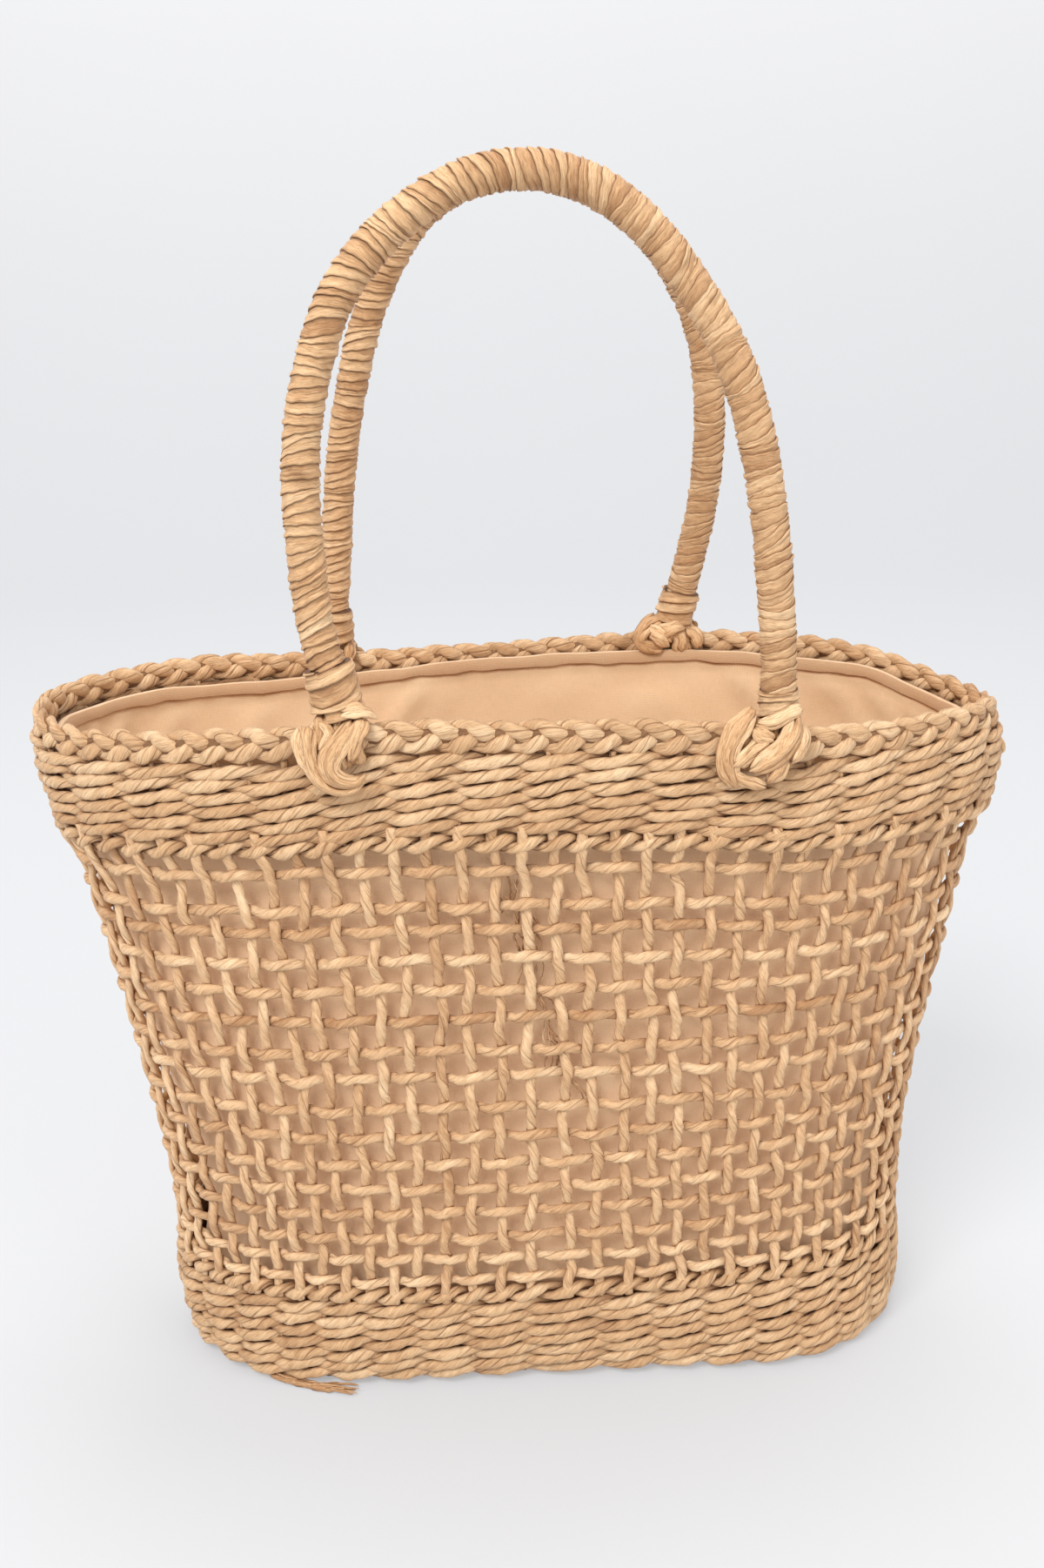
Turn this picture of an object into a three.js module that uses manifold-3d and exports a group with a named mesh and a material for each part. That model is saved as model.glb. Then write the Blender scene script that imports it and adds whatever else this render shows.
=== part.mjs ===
// Straw basket bag: a flaring oval tote of twisted paper straw with an open
// lattice wall, close-twined bands at the top and the base, a plaited rim, two
// wrapped arched handles lashed to the rim, and a loose cotton lining.
// Millimetres, +Z up, +X along the bag, the front face looks along -Y.
// The origin is the middle of the footprint, on the surface it stands on.
import * as THREE from 'three';
import * as BufferGeometryUtils from 'three/addons/utils/BufferGeometryUtils.js';
import Module from 'manifold-3d';

// ---------------------------------------------------------------- sizes (mm)
const GAP = 0.3;            // air kept between neighbouring pieces
const SEGMENTS = 48;        // facets round the body
const BASE_THICK = 7.0;     // woven floor
const BAND_THICK = 8.0;     // twined straw: stake plus the pair of weavers
const LATTICE_THICK = 6.6;  // stake and weaver crossing over and under
const LINING_THICK = 1.2;   // cotton, with its facing
const HEM_THICK = 2.4;      // the turned hem at the mouth
const HEM_DEEP = 6.0;
const Z_BAND_LOW = 58.0;    // top of the base band
const Z_BAND_HIGH = 267.0;  // bottom of the top band
const Z_BAND_TOP = 308.1;   // top of the top band, where the plait starts
const PLAIT_A = 201.8;      // plait centre line: half length
const PLAIT_B = 80.8;       //                    half width
const PLAIT_N = 2.25;       //                    roundness exponent
const PLAIT_Z = 315.6;      //                    height
const PLAIT_HALF_W = 6.6;   // half thickness across
const PLAIT_HALF_H = 6.8;   // half height
const HANDLE_D = 14.6;      // wrapped handle, over the wrapping
const HANDLE_SIDES = 10;
const HANDLE_STEPS = 38;
const COLLAR_D = 23.0;      // binding round the foot of a handle
const COLLAR_HIGH = 17.0;

// Outer surface of the straw at each height. a: half length, b: half width,
// n: roundness exponent (2 is an ellipse), cx: shift along the bag, because
// the bag leans a little to one end.
const SECTIONS = [
  { z: 0, a: 166.5, b: 59.0, n: 2.80, cx: 6.4 },
  { z: 3, a: 171.0, b: 63.8, n: 2.80, cx: 6.4 },
  { z: 9, a: 174.3, b: 67.3, n: 2.80, cx: 6.4 },
  { z: 34, a: 175.2, b: 69.3, n: 2.75, cx: 6.0 },
  { z: 58, a: 174.0, b: 70.3, n: 2.70, cx: 5.2 },
  { z: 90, a: 174.9, b: 71.5, n: 2.65, cx: 5.0 },
  { z: 120, a: 177.0, b: 72.6, n: 2.60, cx: 4.6 },
  { z: 155, a: 181.2, b: 74.2, n: 2.52, cx: 4.0 },
  { z: 190, a: 186.4, b: 76.0, n: 2.45, cx: 3.2 },
  { z: 228, a: 192.8, b: 78.2, n: 2.38, cx: 2.2 },
  { z: 258, a: 198.6, b: 80.2, n: 2.32, cx: 1.2 },
  { z: 268, a: 203.2, b: 82.8, n: 2.30, cx: 0.8 },
  { z: 290, a: 207.0, b: 84.6, n: 2.27, cx: 0.2 },
  { z: 309, a: 207.4, b: 85.0, n: 2.25, cx: 0.0 },
  { z: 330, a: 208.0, b: 86.5, n: 2.25, cx: 0.0 },
];

// The rim isn't level: how far it is lifted or sunk round the mouth.
// angle: degrees from the +X end, by way of the back; lift: mm.
const RIM_LIFT = [
  { angle: 0, lift: -13.2 }, { angle: 16, lift: -12.6 }, { angle: 27, lift: -9.0 },
  { angle: 36, lift: -4.0 }, { angle: 47, lift: -0.6 }, { angle: 64, lift: 0.8 },
  { angle: 78, lift: -1.0 }, { angle: 92, lift: -3.6 }, { angle: 110, lift: -4.4 },
  { angle: 122, lift: -2.6 }, { angle: 135, lift: 0.6 }, { angle: 150, lift: -0.4 },
  { angle: 180, lift: -1.6 }, { angle: 205, lift: -3.2 }, { angle: 222, lift: -0.8 },
  { angle: 238, lift: 3.2 }, { angle: 256, lift: 7.2 }, { angle: 270, lift: 5.6 },
  { angle: 283, lift: 3.6 }, { angle: 302, lift: -4.2 }, { angle: 318, lift: -5.6 },
  { angle: 335, lift: -7.6 }, { angle: 360, lift: -13.2 },
];

// Slack places of the lining, where it hangs in from the straw wall.
// angle and z: middle of the fold; depth: how far in; wide: degrees; tall: mm.
const LINING_FOLDS = [
  { angle: 208, z: 78, depth: 11, wide: 13, tall: 34 },
  { angle: 331, z: 92, depth: 10, wide: 11, tall: 34 },
  { angle: 222, z: 258, depth: 5, wide: 15, tall: 26 },
  { angle: 29, z: 80, depth: 10, wide: 13, tall: 36 },
  { angle: 151, z: 80, depth: 10, wide: 13, tall: 36 },
  { angle: 0, z: 120, depth: 8, wide: 14, tall: 70 },
  { angle: 180, z: 120, depth: 8, wide: 14, tall: 70 },
  { angle: 262, z: 150, depth: 2.5, wide: 9, tall: 60 },
  { angle: 78, z: 150, depth: 2.5, wide: 9, tall: 60 },
];

// Centre line of each handle. The arches are a little skewed. The first and
// last rows are the feet, which are then seated on the plait.
const HANDLE_FRONT = [
  { x: -75.6, y: -76.8, z: 329.0 }, { x: -77.8, y: -75.8, z: 345 }, { x: -82.2, y: -74.3, z: 364 },
  { x: -84.8, y: -71.9, z: 396 }, { x: -84.6, y: -69.6, z: 423 }, { x: -81.0, y: -67.1, z: 447 },
  { x: -70.8, y: -63.7, z: 477 }, { x: -60.4, y: -62.0, z: 492 }, { x: -44.0, y: -60.1, z: 507 },
  { x: -21.9, y: -58.6, z: 518.8 }, { x: 1.6, y: -58.1, z: 521.8 }, { x: 22.0, y: -58.7, z: 516.8 },
  { x: 40.2, y: -60.3, z: 504.2 }, { x: 58.6, y: -63.1, z: 482 }, { x: 74.2, y: -66.3, z: 455 },
  { x: 82.8, y: -69.1, z: 428 }, { x: 88.2, y: -71.6, z: 397 }, { x: 91.6, y: -73.2, z: 364 },
  { x: 93.2, y: -73.9, z: 340 }, { x: 94.0, y: -74.0, z: 320.0 },
];
const HANDLE_BACK = [
  { x: -84.6, y: 75.8, z: 320.0 }, { x: -83.9, y: 75.6, z: 340 }, { x: -81.8, y: 74.8, z: 361 },
  { x: -79.9, y: 73.4, z: 383 }, { x: -76.8, y: 71.2, z: 408 }, { x: -71.8, y: 68.9, z: 434 },
  { x: -62.6, y: 65.6, z: 465 }, { x: -51.4, y: 62.8, z: 490 }, { x: -36.0, y: 60.1, z: 510.6 },
  { x: -16.0, y: 58.6, z: 522.4 }, { x: 6.6, y: 58.2, z: 525.6 }, { x: 34.0, y: 59.1, z: 519.6 },
  { x: 57.2, y: 60.9, z: 504.6 }, { x: 74.0, y: 63.4, z: 484.8 }, { x: 85.2, y: 66.2, z: 459.7 },
  { x: 90.8, y: 69.4, z: 430 }, { x: 91.2, y: 72.1, z: 399 }, { x: 88.8, y: 74.0, z: 376 },
  { x: 84.6, y: 75.4, z: 353 }, { x: 80.4, y: 76.2, z: 335 }, { x: 77.6, y: 76.6, z: 325.0 },
];

// Lashing that ties each foot down over the plait. wide, deep, high: half
// sizes of the bound lump; out and down: where it sits from the plait's middle.
const LASHINGS = [
  { name: 'lashing_front_left', handle: 'front', foot: 0, wide: 17.0, deep: 13.0, high: 20.5, out: 2.5, down: 5.0, side: -2.0 },
  { name: 'lashing_front_right', handle: 'front', foot: 19, wide: 19.0, deep: 13.0, high: 20.5, out: 2.5, down: 5.0, side: -7.0 },
  { name: 'lashing_back_left', handle: 'back', foot: 0, wide: 16.0, deep: 13.0, high: 17.5, out: 2.5, down: 2.0, side: 3.0 },
  { name: 'lashing_back_right', handle: 'back', foot: 20, wide: 21.0, deep: 13.0, high: 17.5, out: 2.5, down: 2.0, side: -6.0 },
];

// ------------------------------------------------------------------- outline
const TAU = Math.PI * 2;

function smoothTable(rows, key, at, value) {
  // Monotone-ish cubic through the rows, so that the wall has no sharp knees.
  const n = rows.length;
  if (at <= rows[0][key]) return rows[0][value];
  if (at >= rows[n - 1][key]) return rows[n - 1][value];
  let i = 0;
  while (at > rows[i + 1][key]) i += 1;
  const slope = (j) => {
    if (j <= 0 || j >= n - 1) return 0;
    const s0 = (rows[j][value] - rows[j - 1][value]) / (rows[j][key] - rows[j - 1][key]);
    const s1 = (rows[j + 1][value] - rows[j][value]) / (rows[j + 1][key] - rows[j][key]);
    return s0 * s1 <= 0 ? 0 : (2 * s0 * s1) / (s0 + s1);
  };
  const h = rows[i + 1][key] - rows[i][key];
  const u = (at - rows[i][key]) / h;
  const p0 = rows[i][value], p1 = rows[i + 1][value];
  const m0 = slope(i) * h, m1 = slope(i + 1) * h;
  const u2 = u * u, u3 = u2 * u;
  return (2 * u3 - 3 * u2 + 1) * p0 + (u3 - 2 * u2 + u) * m0 + (3 * u2 - 2 * u3) * p1 + (u3 - u2) * m1;
}

const sectionAt = (z) => ({
  a: smoothTable(SECTIONS, 'z', z, 'a'), b: smoothTable(SECTIONS, 'z', z, 'b'),
  n: smoothTable(SECTIONS, 'z', z, 'n'), cx: smoothTable(SECTIONS, 'z', z, 'cx'),
});

// A point on a rounded oval at parameter t, moved inwards by inset.
function ovalPoint({ a, b, n, cx }, t, inset) {
  const c = Math.cos(t), s = Math.sin(t), e = 2 / n;
  const x = a * Math.sign(c) * Math.abs(c) ** e;
  const y = b * Math.sign(s) * Math.abs(s) ** e;
  let nx = Math.sign(x) * Math.abs(x / a) ** (n - 1) / a;
  let ny = Math.sign(y) * Math.abs(y / b) ** (n - 1) / b;
  const length = Math.hypot(nx, ny) || 1;
  nx /= length; ny /= length;
  return { x: cx + x - nx * inset, y: y - ny * inset, nx, ny };
}

// Parameters that space the facets evenly along the rim, tips included.
function evenParameters(count) {
  const oval = { a: 195, b: 78, n: 2.4, cx: 0 };
  const fine = 2880, lengths = [0];
  let before = ovalPoint(oval, 0, 0);
  for (let i = 1; i <= fine; i += 1) {
    const p = ovalPoint(oval, (i / fine) * TAU, 0);
    lengths.push(lengths[i - 1] + Math.hypot(p.x - before.x, p.y - before.y));
    before = p;
  }
  const out = [];
  for (let k = 0, i = 0; k < count; k += 1) {
    const want = (k / count) * lengths[fine];
    while (lengths[i + 1] < want) i += 1;
    const f = (want - lengths[i]) / (lengths[i + 1] - lengths[i]);
    out.push(((i + f) / fine) * TAU);
  }
  return out;
}
const PARAMETERS = evenParameters(SEGMENTS);

// Angle used by the tables: the parameter of a plain ellipse at the rim.
const RIM_OVAL = { a: 208, b: 84, n: 2.25, cx: 0 };
function tableAngle(t) {
  const point = ovalPoint(RIM_OVAL, t, 0);
  const angle = (Math.atan2(point.y / RIM_OVAL.b, point.x / RIM_OVAL.a) * 180) / Math.PI;
  return angle < 0 ? angle + 360 : angle;
}
const rimLift = (angle) => smoothTable(RIM_LIFT, 'angle', angle, 'lift');
const liftShare = (z) => Math.min(1, Math.max(0, (z - Z_BAND_LOW) / (Z_BAND_TOP - Z_BAND_LOW)));

// The foot is fuller at the front right: how far it stands out there.
const BULGE = { angle: 312, wide: 21, out: 5.0, fades: 130 };
function bulge(angle, z) {
  const turn = ((angle - BULGE.angle + 540) % 360) - 180;
  const share = Math.min(1, Math.max(0, 1 - z / BULGE.fades));
  return BULGE.out * share * share * (3 - 2 * share) * Math.exp(-((turn / BULGE.wide) ** 2));
}

function liningFold(angle, z) {
  let depth = 0;
  for (const f of LINING_FOLDS) {
    const turn = ((angle - f.angle + 540) % 360) - 180;
    depth += f.depth * Math.exp(-((turn / f.wide) ** 2) - ((z - f.z) / f.tall) ** 2);
  }
  return depth;
}

function bodyPoint(z, t, inset, folds = 0) {
  const oval = sectionAt(z);
  const angle = tableAngle(t);
  const extra = folds ? folds * liningFold(angle, z) : 0;
  const p = ovalPoint(oval, t, inset + extra - bulge(angle, z));
  return new THREE.Vector3(p.x, p.y, z + rimLift(angle) * liftShare(z));
}

// ---------------------------------------------------------------- mesh tools
function geometryFrom(points, triangles) {
  const geometry = new THREE.BufferGeometry();
  const flat = new Float32Array(points.length * 3);
  points.forEach((p, i) => { flat[3 * i] = p.x; flat[3 * i + 1] = p.y; flat[3 * i + 2] = p.z; });
  geometry.setAttribute('position', new THREE.BufferAttribute(flat, 3));
  geometry.setIndex(triangles);
  return geometry;
}

// A ring: each profile point is carried right round, and the profile closes on
// itself, so the result is a hollow hoop of wall. place(t, j) gives a point.
function hoop(place, profileCount) {
  const points = [], triangles = [];
  for (let i = 0; i < SEGMENTS; i += 1) {
    for (let j = 0; j < profileCount; j += 1) points.push(place(PARAMETERS[i], j));
  }
  for (let i = 0; i < SEGMENTS; i += 1) {
    const next = (i + 1) % SEGMENTS;
    for (let j = 0; j < profileCount; j += 1) {
      const k = (j + 1) % profileCount;
      const a = i * profileCount + j, b = next * profileCount + j;
      const c = next * profileCount + k, d = i * profileCount + k;
      triangles.push(a, b, c, a, c, d);
    }
  }
  return geometryFrom(points, triangles);
}

// A cup or plate: rings listed from the middle of one face to the middle of
// the other, with a centre point closing each end.
function cup(rings, firstCentre, lastCentre) {
  const points = [], triangles = [];
  rings.forEach((ring) => ring.forEach((p) => points.push(p)));
  const n = SEGMENTS, first = points.length, last = first + 1;
  points.push(firstCentre, lastCentre);
  for (let r = 0; r < rings.length - 1; r += 1) {
    for (let i = 0; i < n; i += 1) {
      const k = (i + 1) % n;
      const a = r * n + i, b = r * n + k, c = (r + 1) * n + k, d = (r + 1) * n + i;
      triangles.push(a, b, c, a, c, d);
    }
  }
  for (let i = 0; i < n; i += 1) {
    const k = (i + 1) % n;
    triangles.push(first, k, i);
    triangles.push(last, (rings.length - 1) * n + i, (rings.length - 1) * n + k);
  }
  return geometryFrom(points, triangles);
}

// Wall profile between two heights: up the outside, then down the inside.
function wallProfile(heights, thick, swell = 0) {
  const profile = heights.map((z) => ({ z, inset: -swell }));
  [...heights].reverse().forEach((z) => profile.push({ z, inset: thick + swell }));
  return profile;
}
function wall(heights, thick, swell = 0) {
  const stretched = heights.map((z, i) => (i === 0 ? z - swell : i === heights.length - 1 ? z + swell : z));
  const profile = wallProfile(stretched, thick, swell);
  return hoop((t, j) => bodyPoint(profile[j].z, t, profile[j].inset), profile.length);
}

// ------------------------------------------------------------- body of straw
const INNER_LATTICE = LATTICE_THICK + GAP;
const INNER_BAND = BAND_THICK + GAP;

// Floor plate: lies inside the foot of the base band.
const floorRing = (z, inset) => PARAMETERS.map((t) => {
  const p = ovalPoint(sectionAt(12), t, inset - bulge(tableAngle(t), 12));
  return new THREE.Vector3(p.x, p.y, z);
});
const baseFloor = cup(
  [floorRing(0, BAND_THICK + GAP + 5), floorRing(0, BAND_THICK + GAP + 1.2), floorRing(1.2, BAND_THICK + GAP),
    floorRing(BASE_THICK - 1, BAND_THICK + GAP), floorRing(BASE_THICK, BAND_THICK + GAP + 2.5)],
  new THREE.Vector3(6, 0, 0), new THREE.Vector3(6, 0, BASE_THICK),
);

// Base band: turns under at the foot, so its lowest ring rests flat.
const FOOT_PROFILE = [
  { z: 0, inset: -1 }, { z: 3, inset: 0 }, { z: 9, inset: 0 },
  { z: 32, inset: 0 }, { z: Z_BAND_LOW - GAP, inset: 0 },
  { z: Z_BAND_LOW - GAP, inset: BAND_THICK }, { z: 34, inset: BAND_THICK }, { z: 12, inset: BAND_THICK },
];
const footInner = (t) => {
  const p = ovalPoint(sectionAt(12), t, BAND_THICK - bulge(tableAngle(t), 12));
  return new THREE.Vector3(p.x, p.y, 0);
};
const bottomBand = hoop(
  (t, j) => (j < FOOT_PROFILE.length
    ? bodyPoint(FOOT_PROFILE[j].z, t, FOOT_PROFILE[j].inset)
    : footInner(t)),
  FOOT_PROFILE.length + 1,
);

const latticeWall = wall([Z_BAND_LOW, 100, 155, 210, Z_BAND_HIGH - 9, Z_BAND_HIGH - GAP], LATTICE_THICK);
const BAND_HEIGHTS = [Z_BAND_HIGH, 276, 290, Z_BAND_TOP - GAP];
const topBand = wall(BAND_HEIGHTS, BAND_THICK);

// Plait along the rim: an eight-sided rounded cord section.
const PLAIT_OVAL = { a: PLAIT_A, b: PLAIT_B, n: PLAIT_N, cx: 0 };
const PLAIT_SECTION = [
  { out: 1.0, up: -0.45 }, { out: 1.0, up: 0.45 }, { out: 0.45, up: 1.0 }, { out: -0.45, up: 1.0 },
  { out: -1.0, up: 0.45 }, { out: -1.0, up: -0.45 }, { out: -0.45, up: -1.0 }, { out: 0.45, up: -1.0 },
];
function plaitPoint(t, out, up) {
  const p = ovalPoint(PLAIT_OVAL, t, -out);
  return new THREE.Vector3(p.x, p.y, PLAIT_Z + up + rimLift(tableAngle(t)));
}
const plait = (swell = 0) => hoop((t, j) => plaitPoint(
  t, PLAIT_SECTION[j].out * (PLAIT_HALF_W + swell), PLAIT_SECTION[j].up * (PLAIT_HALF_H + swell),
), PLAIT_SECTION.length);

// -------------------------------------------------------------------- lining
// A cloth bag: floor, slack sides, and a turned hem just under the plait.
const LINING_FLOOR = BASE_THICK + GAP;
const LINING_PROFILE = [
  { z: 13, inset: 10.0, fold: 0.5 }, { z: 28, inset: 9.2, fold: 1 }, { z: 70, inset: 8.9, fold: 1 },
  { z: 112, inset: 8.0, fold: 1 }, { z: 175, inset: 7.8, fold: 1 }, { z: 248, inset: 8.2, fold: 1 },
  { z: 272, inset: 9.6, fold: 0.6 }, { z: Z_BAND_TOP - HEM_DEEP - 1, inset: 9.4, fold: 0 },
  { z: Z_BAND_TOP - 1, inset: 9.2, fold: 0 },
];
const liningRing = (row, extra) => PARAMETERS.map((t) => bodyPoint(row.z, t, row.inset + extra, row.fold));
const liningFloorRing = (z, inset) => PARAMETERS.map((t) => {
  const p = ovalPoint(sectionAt(12), t, inset - bulge(tableAngle(t), 12));
  return new THREE.Vector3(p.x, p.y, z);
});
function lining(swell = 0) {
  const profile = LINING_PROFILE.map((row, i) => (
    i === LINING_PROFILE.length - 1 ? { ...row, z: row.z + 2 * swell } : row));
  const outside = profile.map((row) => liningRing(row, -swell));
  const inside = [...profile].reverse().map((row, i) => liningRing(
    row, (i < 2 ? HEM_THICK : LINING_THICK) + swell,
  ));
  return cup(
    [liningFloorRing(LINING_FLOOR, 60), liningFloorRing(LINING_FLOOR, 15.5), ...outside, ...inside,
      liningFloorRing(LINING_FLOOR + LINING_THICK, 16.2), liningFloorRing(LINING_FLOOR + LINING_THICK, 60)],
    new THREE.Vector3(6, 0, LINING_FLOOR), new THREE.Vector3(6, 0, LINING_FLOOR + LINING_THICK),
  );
}

// ------------------------------------------------------------------- handles
// Height at which a foot of this lean just clears the top of the plait.
const FOOT_TILT = 2.4;
function seated(rows) {
  return rows.map((row, i) => {
    if (i !== 0 && i !== rows.length - 1) return row;
    let angle = (Math.atan2(row.y / RIM_OVAL.b, row.x / RIM_OVAL.a) * 180) / Math.PI;
    if (angle < 0) angle += 360;
    return { ...row, z: PLAIT_Z + PLAIT_HALF_H + rimLift(angle) + GAP + FOOT_TILT };
  });
}
const FRONT_LINE = seated(HANDLE_FRONT);
const BACK_LINE = seated(HANDLE_BACK);

function handleCurve(rows) {
  return new THREE.CatmullRomCurve3(rows.map((r) => new THREE.Vector3(r.x, r.y, r.z)), false, 'centripetal');
}
function tube(rows, radius, steps = HANDLE_STEPS) {
  const shape = new THREE.Shape();
  for (let i = 0; i < HANDLE_SIDES; i += 1) {
    const w = (i / HANDLE_SIDES) * TAU;
    const x = radius * Math.cos(w), y = radius * Math.sin(w);
    if (i === 0) shape.moveTo(x, y); else shape.lineTo(x, y);
  }
  shape.closePath();
  return new THREE.ExtrudeGeometry(shape, { steps, bevelEnabled: false, extrudePath: handleCurve(rows) });
}

// ------------------------------------------------------------------ lashings
const wasm = await Module();
wasm.setup();

function toManifold(geometry) {
  let plain = geometry.clone();
  plain.deleteAttribute('normal');
  plain.deleteAttribute('uv');
  plain = BufferGeometryUtils.mergeVertices(plain, 1e-4);
  return new wasm.Manifold(new wasm.Mesh({
    numProp: 3,
    vertProperties: new Float32Array(plain.attributes.position.array),
    triVerts: new Uint32Array(plain.index.array),
  }));
}
function fromManifold(solid) {
  const mesh = solid.getMesh();
  const geometry = new THREE.BufferGeometry();
  geometry.setAttribute('position', new THREE.BufferAttribute(new Float32Array(mesh.vertProperties), 3));
  geometry.setIndex(Array.from(mesh.triVerts));
  return geometry;
}
function biggest(solid) {
  return solid.decompose().reduce((best, one) => (one.volume() > best.volume() ? one : best));
}

const CLEAR = GAP + 0.15;
const plaitCut = toManifold(plait(CLEAR));
const bandCut = toManifold(wall(BAND_HEIGHTS, BAND_THICK, CLEAR));
const liningCut = toManifold(lining(CLEAR));

function lashing(spec) {
  const rows = spec.handle === 'front' ? FRONT_LINE : BACK_LINE;
  const foot = rows[spec.foot], above = rows[spec.foot === 0 ? 1 : rows.length - 2];
  const outward = spec.handle === 'front' ? -1 : 1;
  const rise = new THREE.Vector3(above.x - foot.x, above.y - foot.y, above.z - foot.z).normalize();

  // Lump of straw turns over the plait.
  const lump = new THREE.SphereGeometry(1, 12, 8);
  lump.scale(spec.wide, spec.deep, spec.high);
  lump.translate(foot.x + spec.side, foot.y + outward * spec.out, foot.z - PLAIT_HALF_H - spec.down);

  // Collar of turns round the leg, waisted at its top.
  const r = COLLAR_D / 2;
  const collar = new THREE.LatheGeometry([
    new THREE.Vector2(0, -2), new THREE.Vector2(r * 0.9, -2), new THREE.Vector2(r, 4),
    new THREE.Vector2(r * 0.96, COLLAR_HIGH * 0.75), new THREE.Vector2(r * 0.8, COLLAR_HIGH), new THREE.Vector2(0, COLLAR_HIGH),
  ], 10);
  collar.rotateX(Math.PI / 2);
  const turn = new THREE.Quaternion().setFromUnitVectors(new THREE.Vector3(0, 0, 1), rise);
  collar.applyQuaternion(turn);
  collar.translate(foot.x, foot.y, foot.z);

  // Straight stub of the leg, with air round it, running past the foot.
  const stub = [
    { x: foot.x - rise.x * 0.35, y: foot.y - rise.y * 0.35, z: foot.z - rise.z * 0.35 }, ...(spec.foot === 0 ? rows.slice(0, 4) : rows.slice(-4).reverse()).slice(1),
  ];
  const legCut = toManifold(tube(stub, (HANDLE_D / 2 + CLEAR) / Math.cos(Math.PI / HANDLE_SIDES), 6));

  const solid = toManifold(lump).add(toManifold(collar))
    .subtract(legCut).subtract(plaitCut).subtract(bandCut).subtract(liningCut);
  return fromManifold(biggest(solid));
}

// ------------------------------------------------------------------ assembly
const straw = (tone) => new THREE.MeshStandardMaterial({ color: tone, roughness: 0.72, metalness: 0 });
const STRAW = 0xd2a673, STRAW_WARM = 0xcb9c68, STRAW_LIGHT = 0xd9b07e, COTTON = 0xdcae82;

const bag = new THREE.Group();
bag.name = 'straw_basket_bag';
function add(name, geometry, material) {
  const mesh = new THREE.Mesh(geometry, material);
  mesh.name = name;
  bag.add(mesh);
}
add('base_floor', baseFloor, straw(STRAW));
add('bottom_band', bottomBand, straw(STRAW_WARM));
add('lattice_wall', latticeWall, straw(STRAW_LIGHT));
add('top_band', topBand, straw(STRAW));
add('rim_plait', plait(), straw(STRAW_WARM));
add('lining', lining(), new THREE.MeshStandardMaterial({ color: COTTON, roughness: 0.9, metalness: 0 }));
add('handle_front', tube(FRONT_LINE, HANDLE_D / 2), straw(STRAW_LIGHT));
add('handle_back', tube(BACK_LINE, HANDLE_D / 2), straw(STRAW_LIGHT));
for (const spec of LASHINGS) add(spec.name, lashing(spec), straw(STRAW_WARM));

export default bag;
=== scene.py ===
# Straw basket bag: the visual model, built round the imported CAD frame.
# Numbers are millimetres until a mesh is made, then metres.
import math

import bpy
import numpy as np
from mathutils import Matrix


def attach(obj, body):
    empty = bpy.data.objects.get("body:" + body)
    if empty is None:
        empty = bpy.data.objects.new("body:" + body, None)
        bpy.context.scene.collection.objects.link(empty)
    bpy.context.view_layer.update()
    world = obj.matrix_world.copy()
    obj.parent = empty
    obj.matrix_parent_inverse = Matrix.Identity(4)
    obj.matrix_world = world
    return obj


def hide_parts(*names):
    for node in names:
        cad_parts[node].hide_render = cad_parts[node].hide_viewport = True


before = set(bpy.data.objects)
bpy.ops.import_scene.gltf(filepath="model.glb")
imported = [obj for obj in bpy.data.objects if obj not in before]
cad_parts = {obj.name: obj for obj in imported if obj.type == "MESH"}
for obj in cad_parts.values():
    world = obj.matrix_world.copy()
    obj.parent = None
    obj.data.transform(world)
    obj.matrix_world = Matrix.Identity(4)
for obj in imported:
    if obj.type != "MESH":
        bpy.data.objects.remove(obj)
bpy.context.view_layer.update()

TAU = 2 * math.pi
STAKES = 72          # upright straws round the bag
PHASE = 0.38         # where the first upright stands, in uprights

# ------------------------------------------------- numbers shared with the CAD
SECTIONS = np.array([
    (0, 166.5, 59.0, 2.80, 6.4), (3, 171.0, 63.8, 2.80, 6.4), (9, 174.3, 67.3, 2.80, 6.4),
    (34, 175.2, 69.3, 2.75, 6.0), (58, 174.0, 70.3, 2.70, 5.2), (90, 174.9, 71.5, 2.65, 5.0),
    (120, 177.0, 72.6, 2.60, 4.6), (155, 181.2, 74.2, 2.52, 4.0), (190, 186.4, 76.0, 2.45, 3.2),
    (228, 192.8, 78.2, 2.38, 2.2), (258, 198.6, 80.2, 2.32, 1.2), (268, 203.2, 82.8, 2.30, 0.8),
    (290, 207.0, 84.6, 2.27, 0.2), (309, 207.4, 85.0, 2.25, 0.0), (330, 208.0, 86.5, 2.25, 0.0)])
RIM_LIFT = np.array([
    (0, -13.2), (16, -12.6), (27, -9.0), (36, -4.0), (47, -0.6), (64, 0.8), (78, -1.0), (92, -3.6),
    (110, -4.4), (122, -2.6), (135, 0.6), (150, -0.4), (180, -1.6), (205, -3.2), (222, -0.8),
    (238, 3.2), (256, 7.2), (270, 5.6), (283, 3.6), (302, -4.2), (318, -5.6), (335, -7.6),
    (360, -13.2)])
FOLDS = [  # angle, z, depth, wide, tall
    (208, 78, 11, 13, 34), (331, 92, 10, 11, 34), (222, 258, 5, 15, 26), (29, 80, 10, 13, 36),
    (151, 80, 10, 13, 36), (0, 120, 8, 14, 70), (180, 120, 8, 14, 70), (262, 150, 2.5, 9, 60),
    (78, 150, 2.5, 9, 60)]
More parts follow.
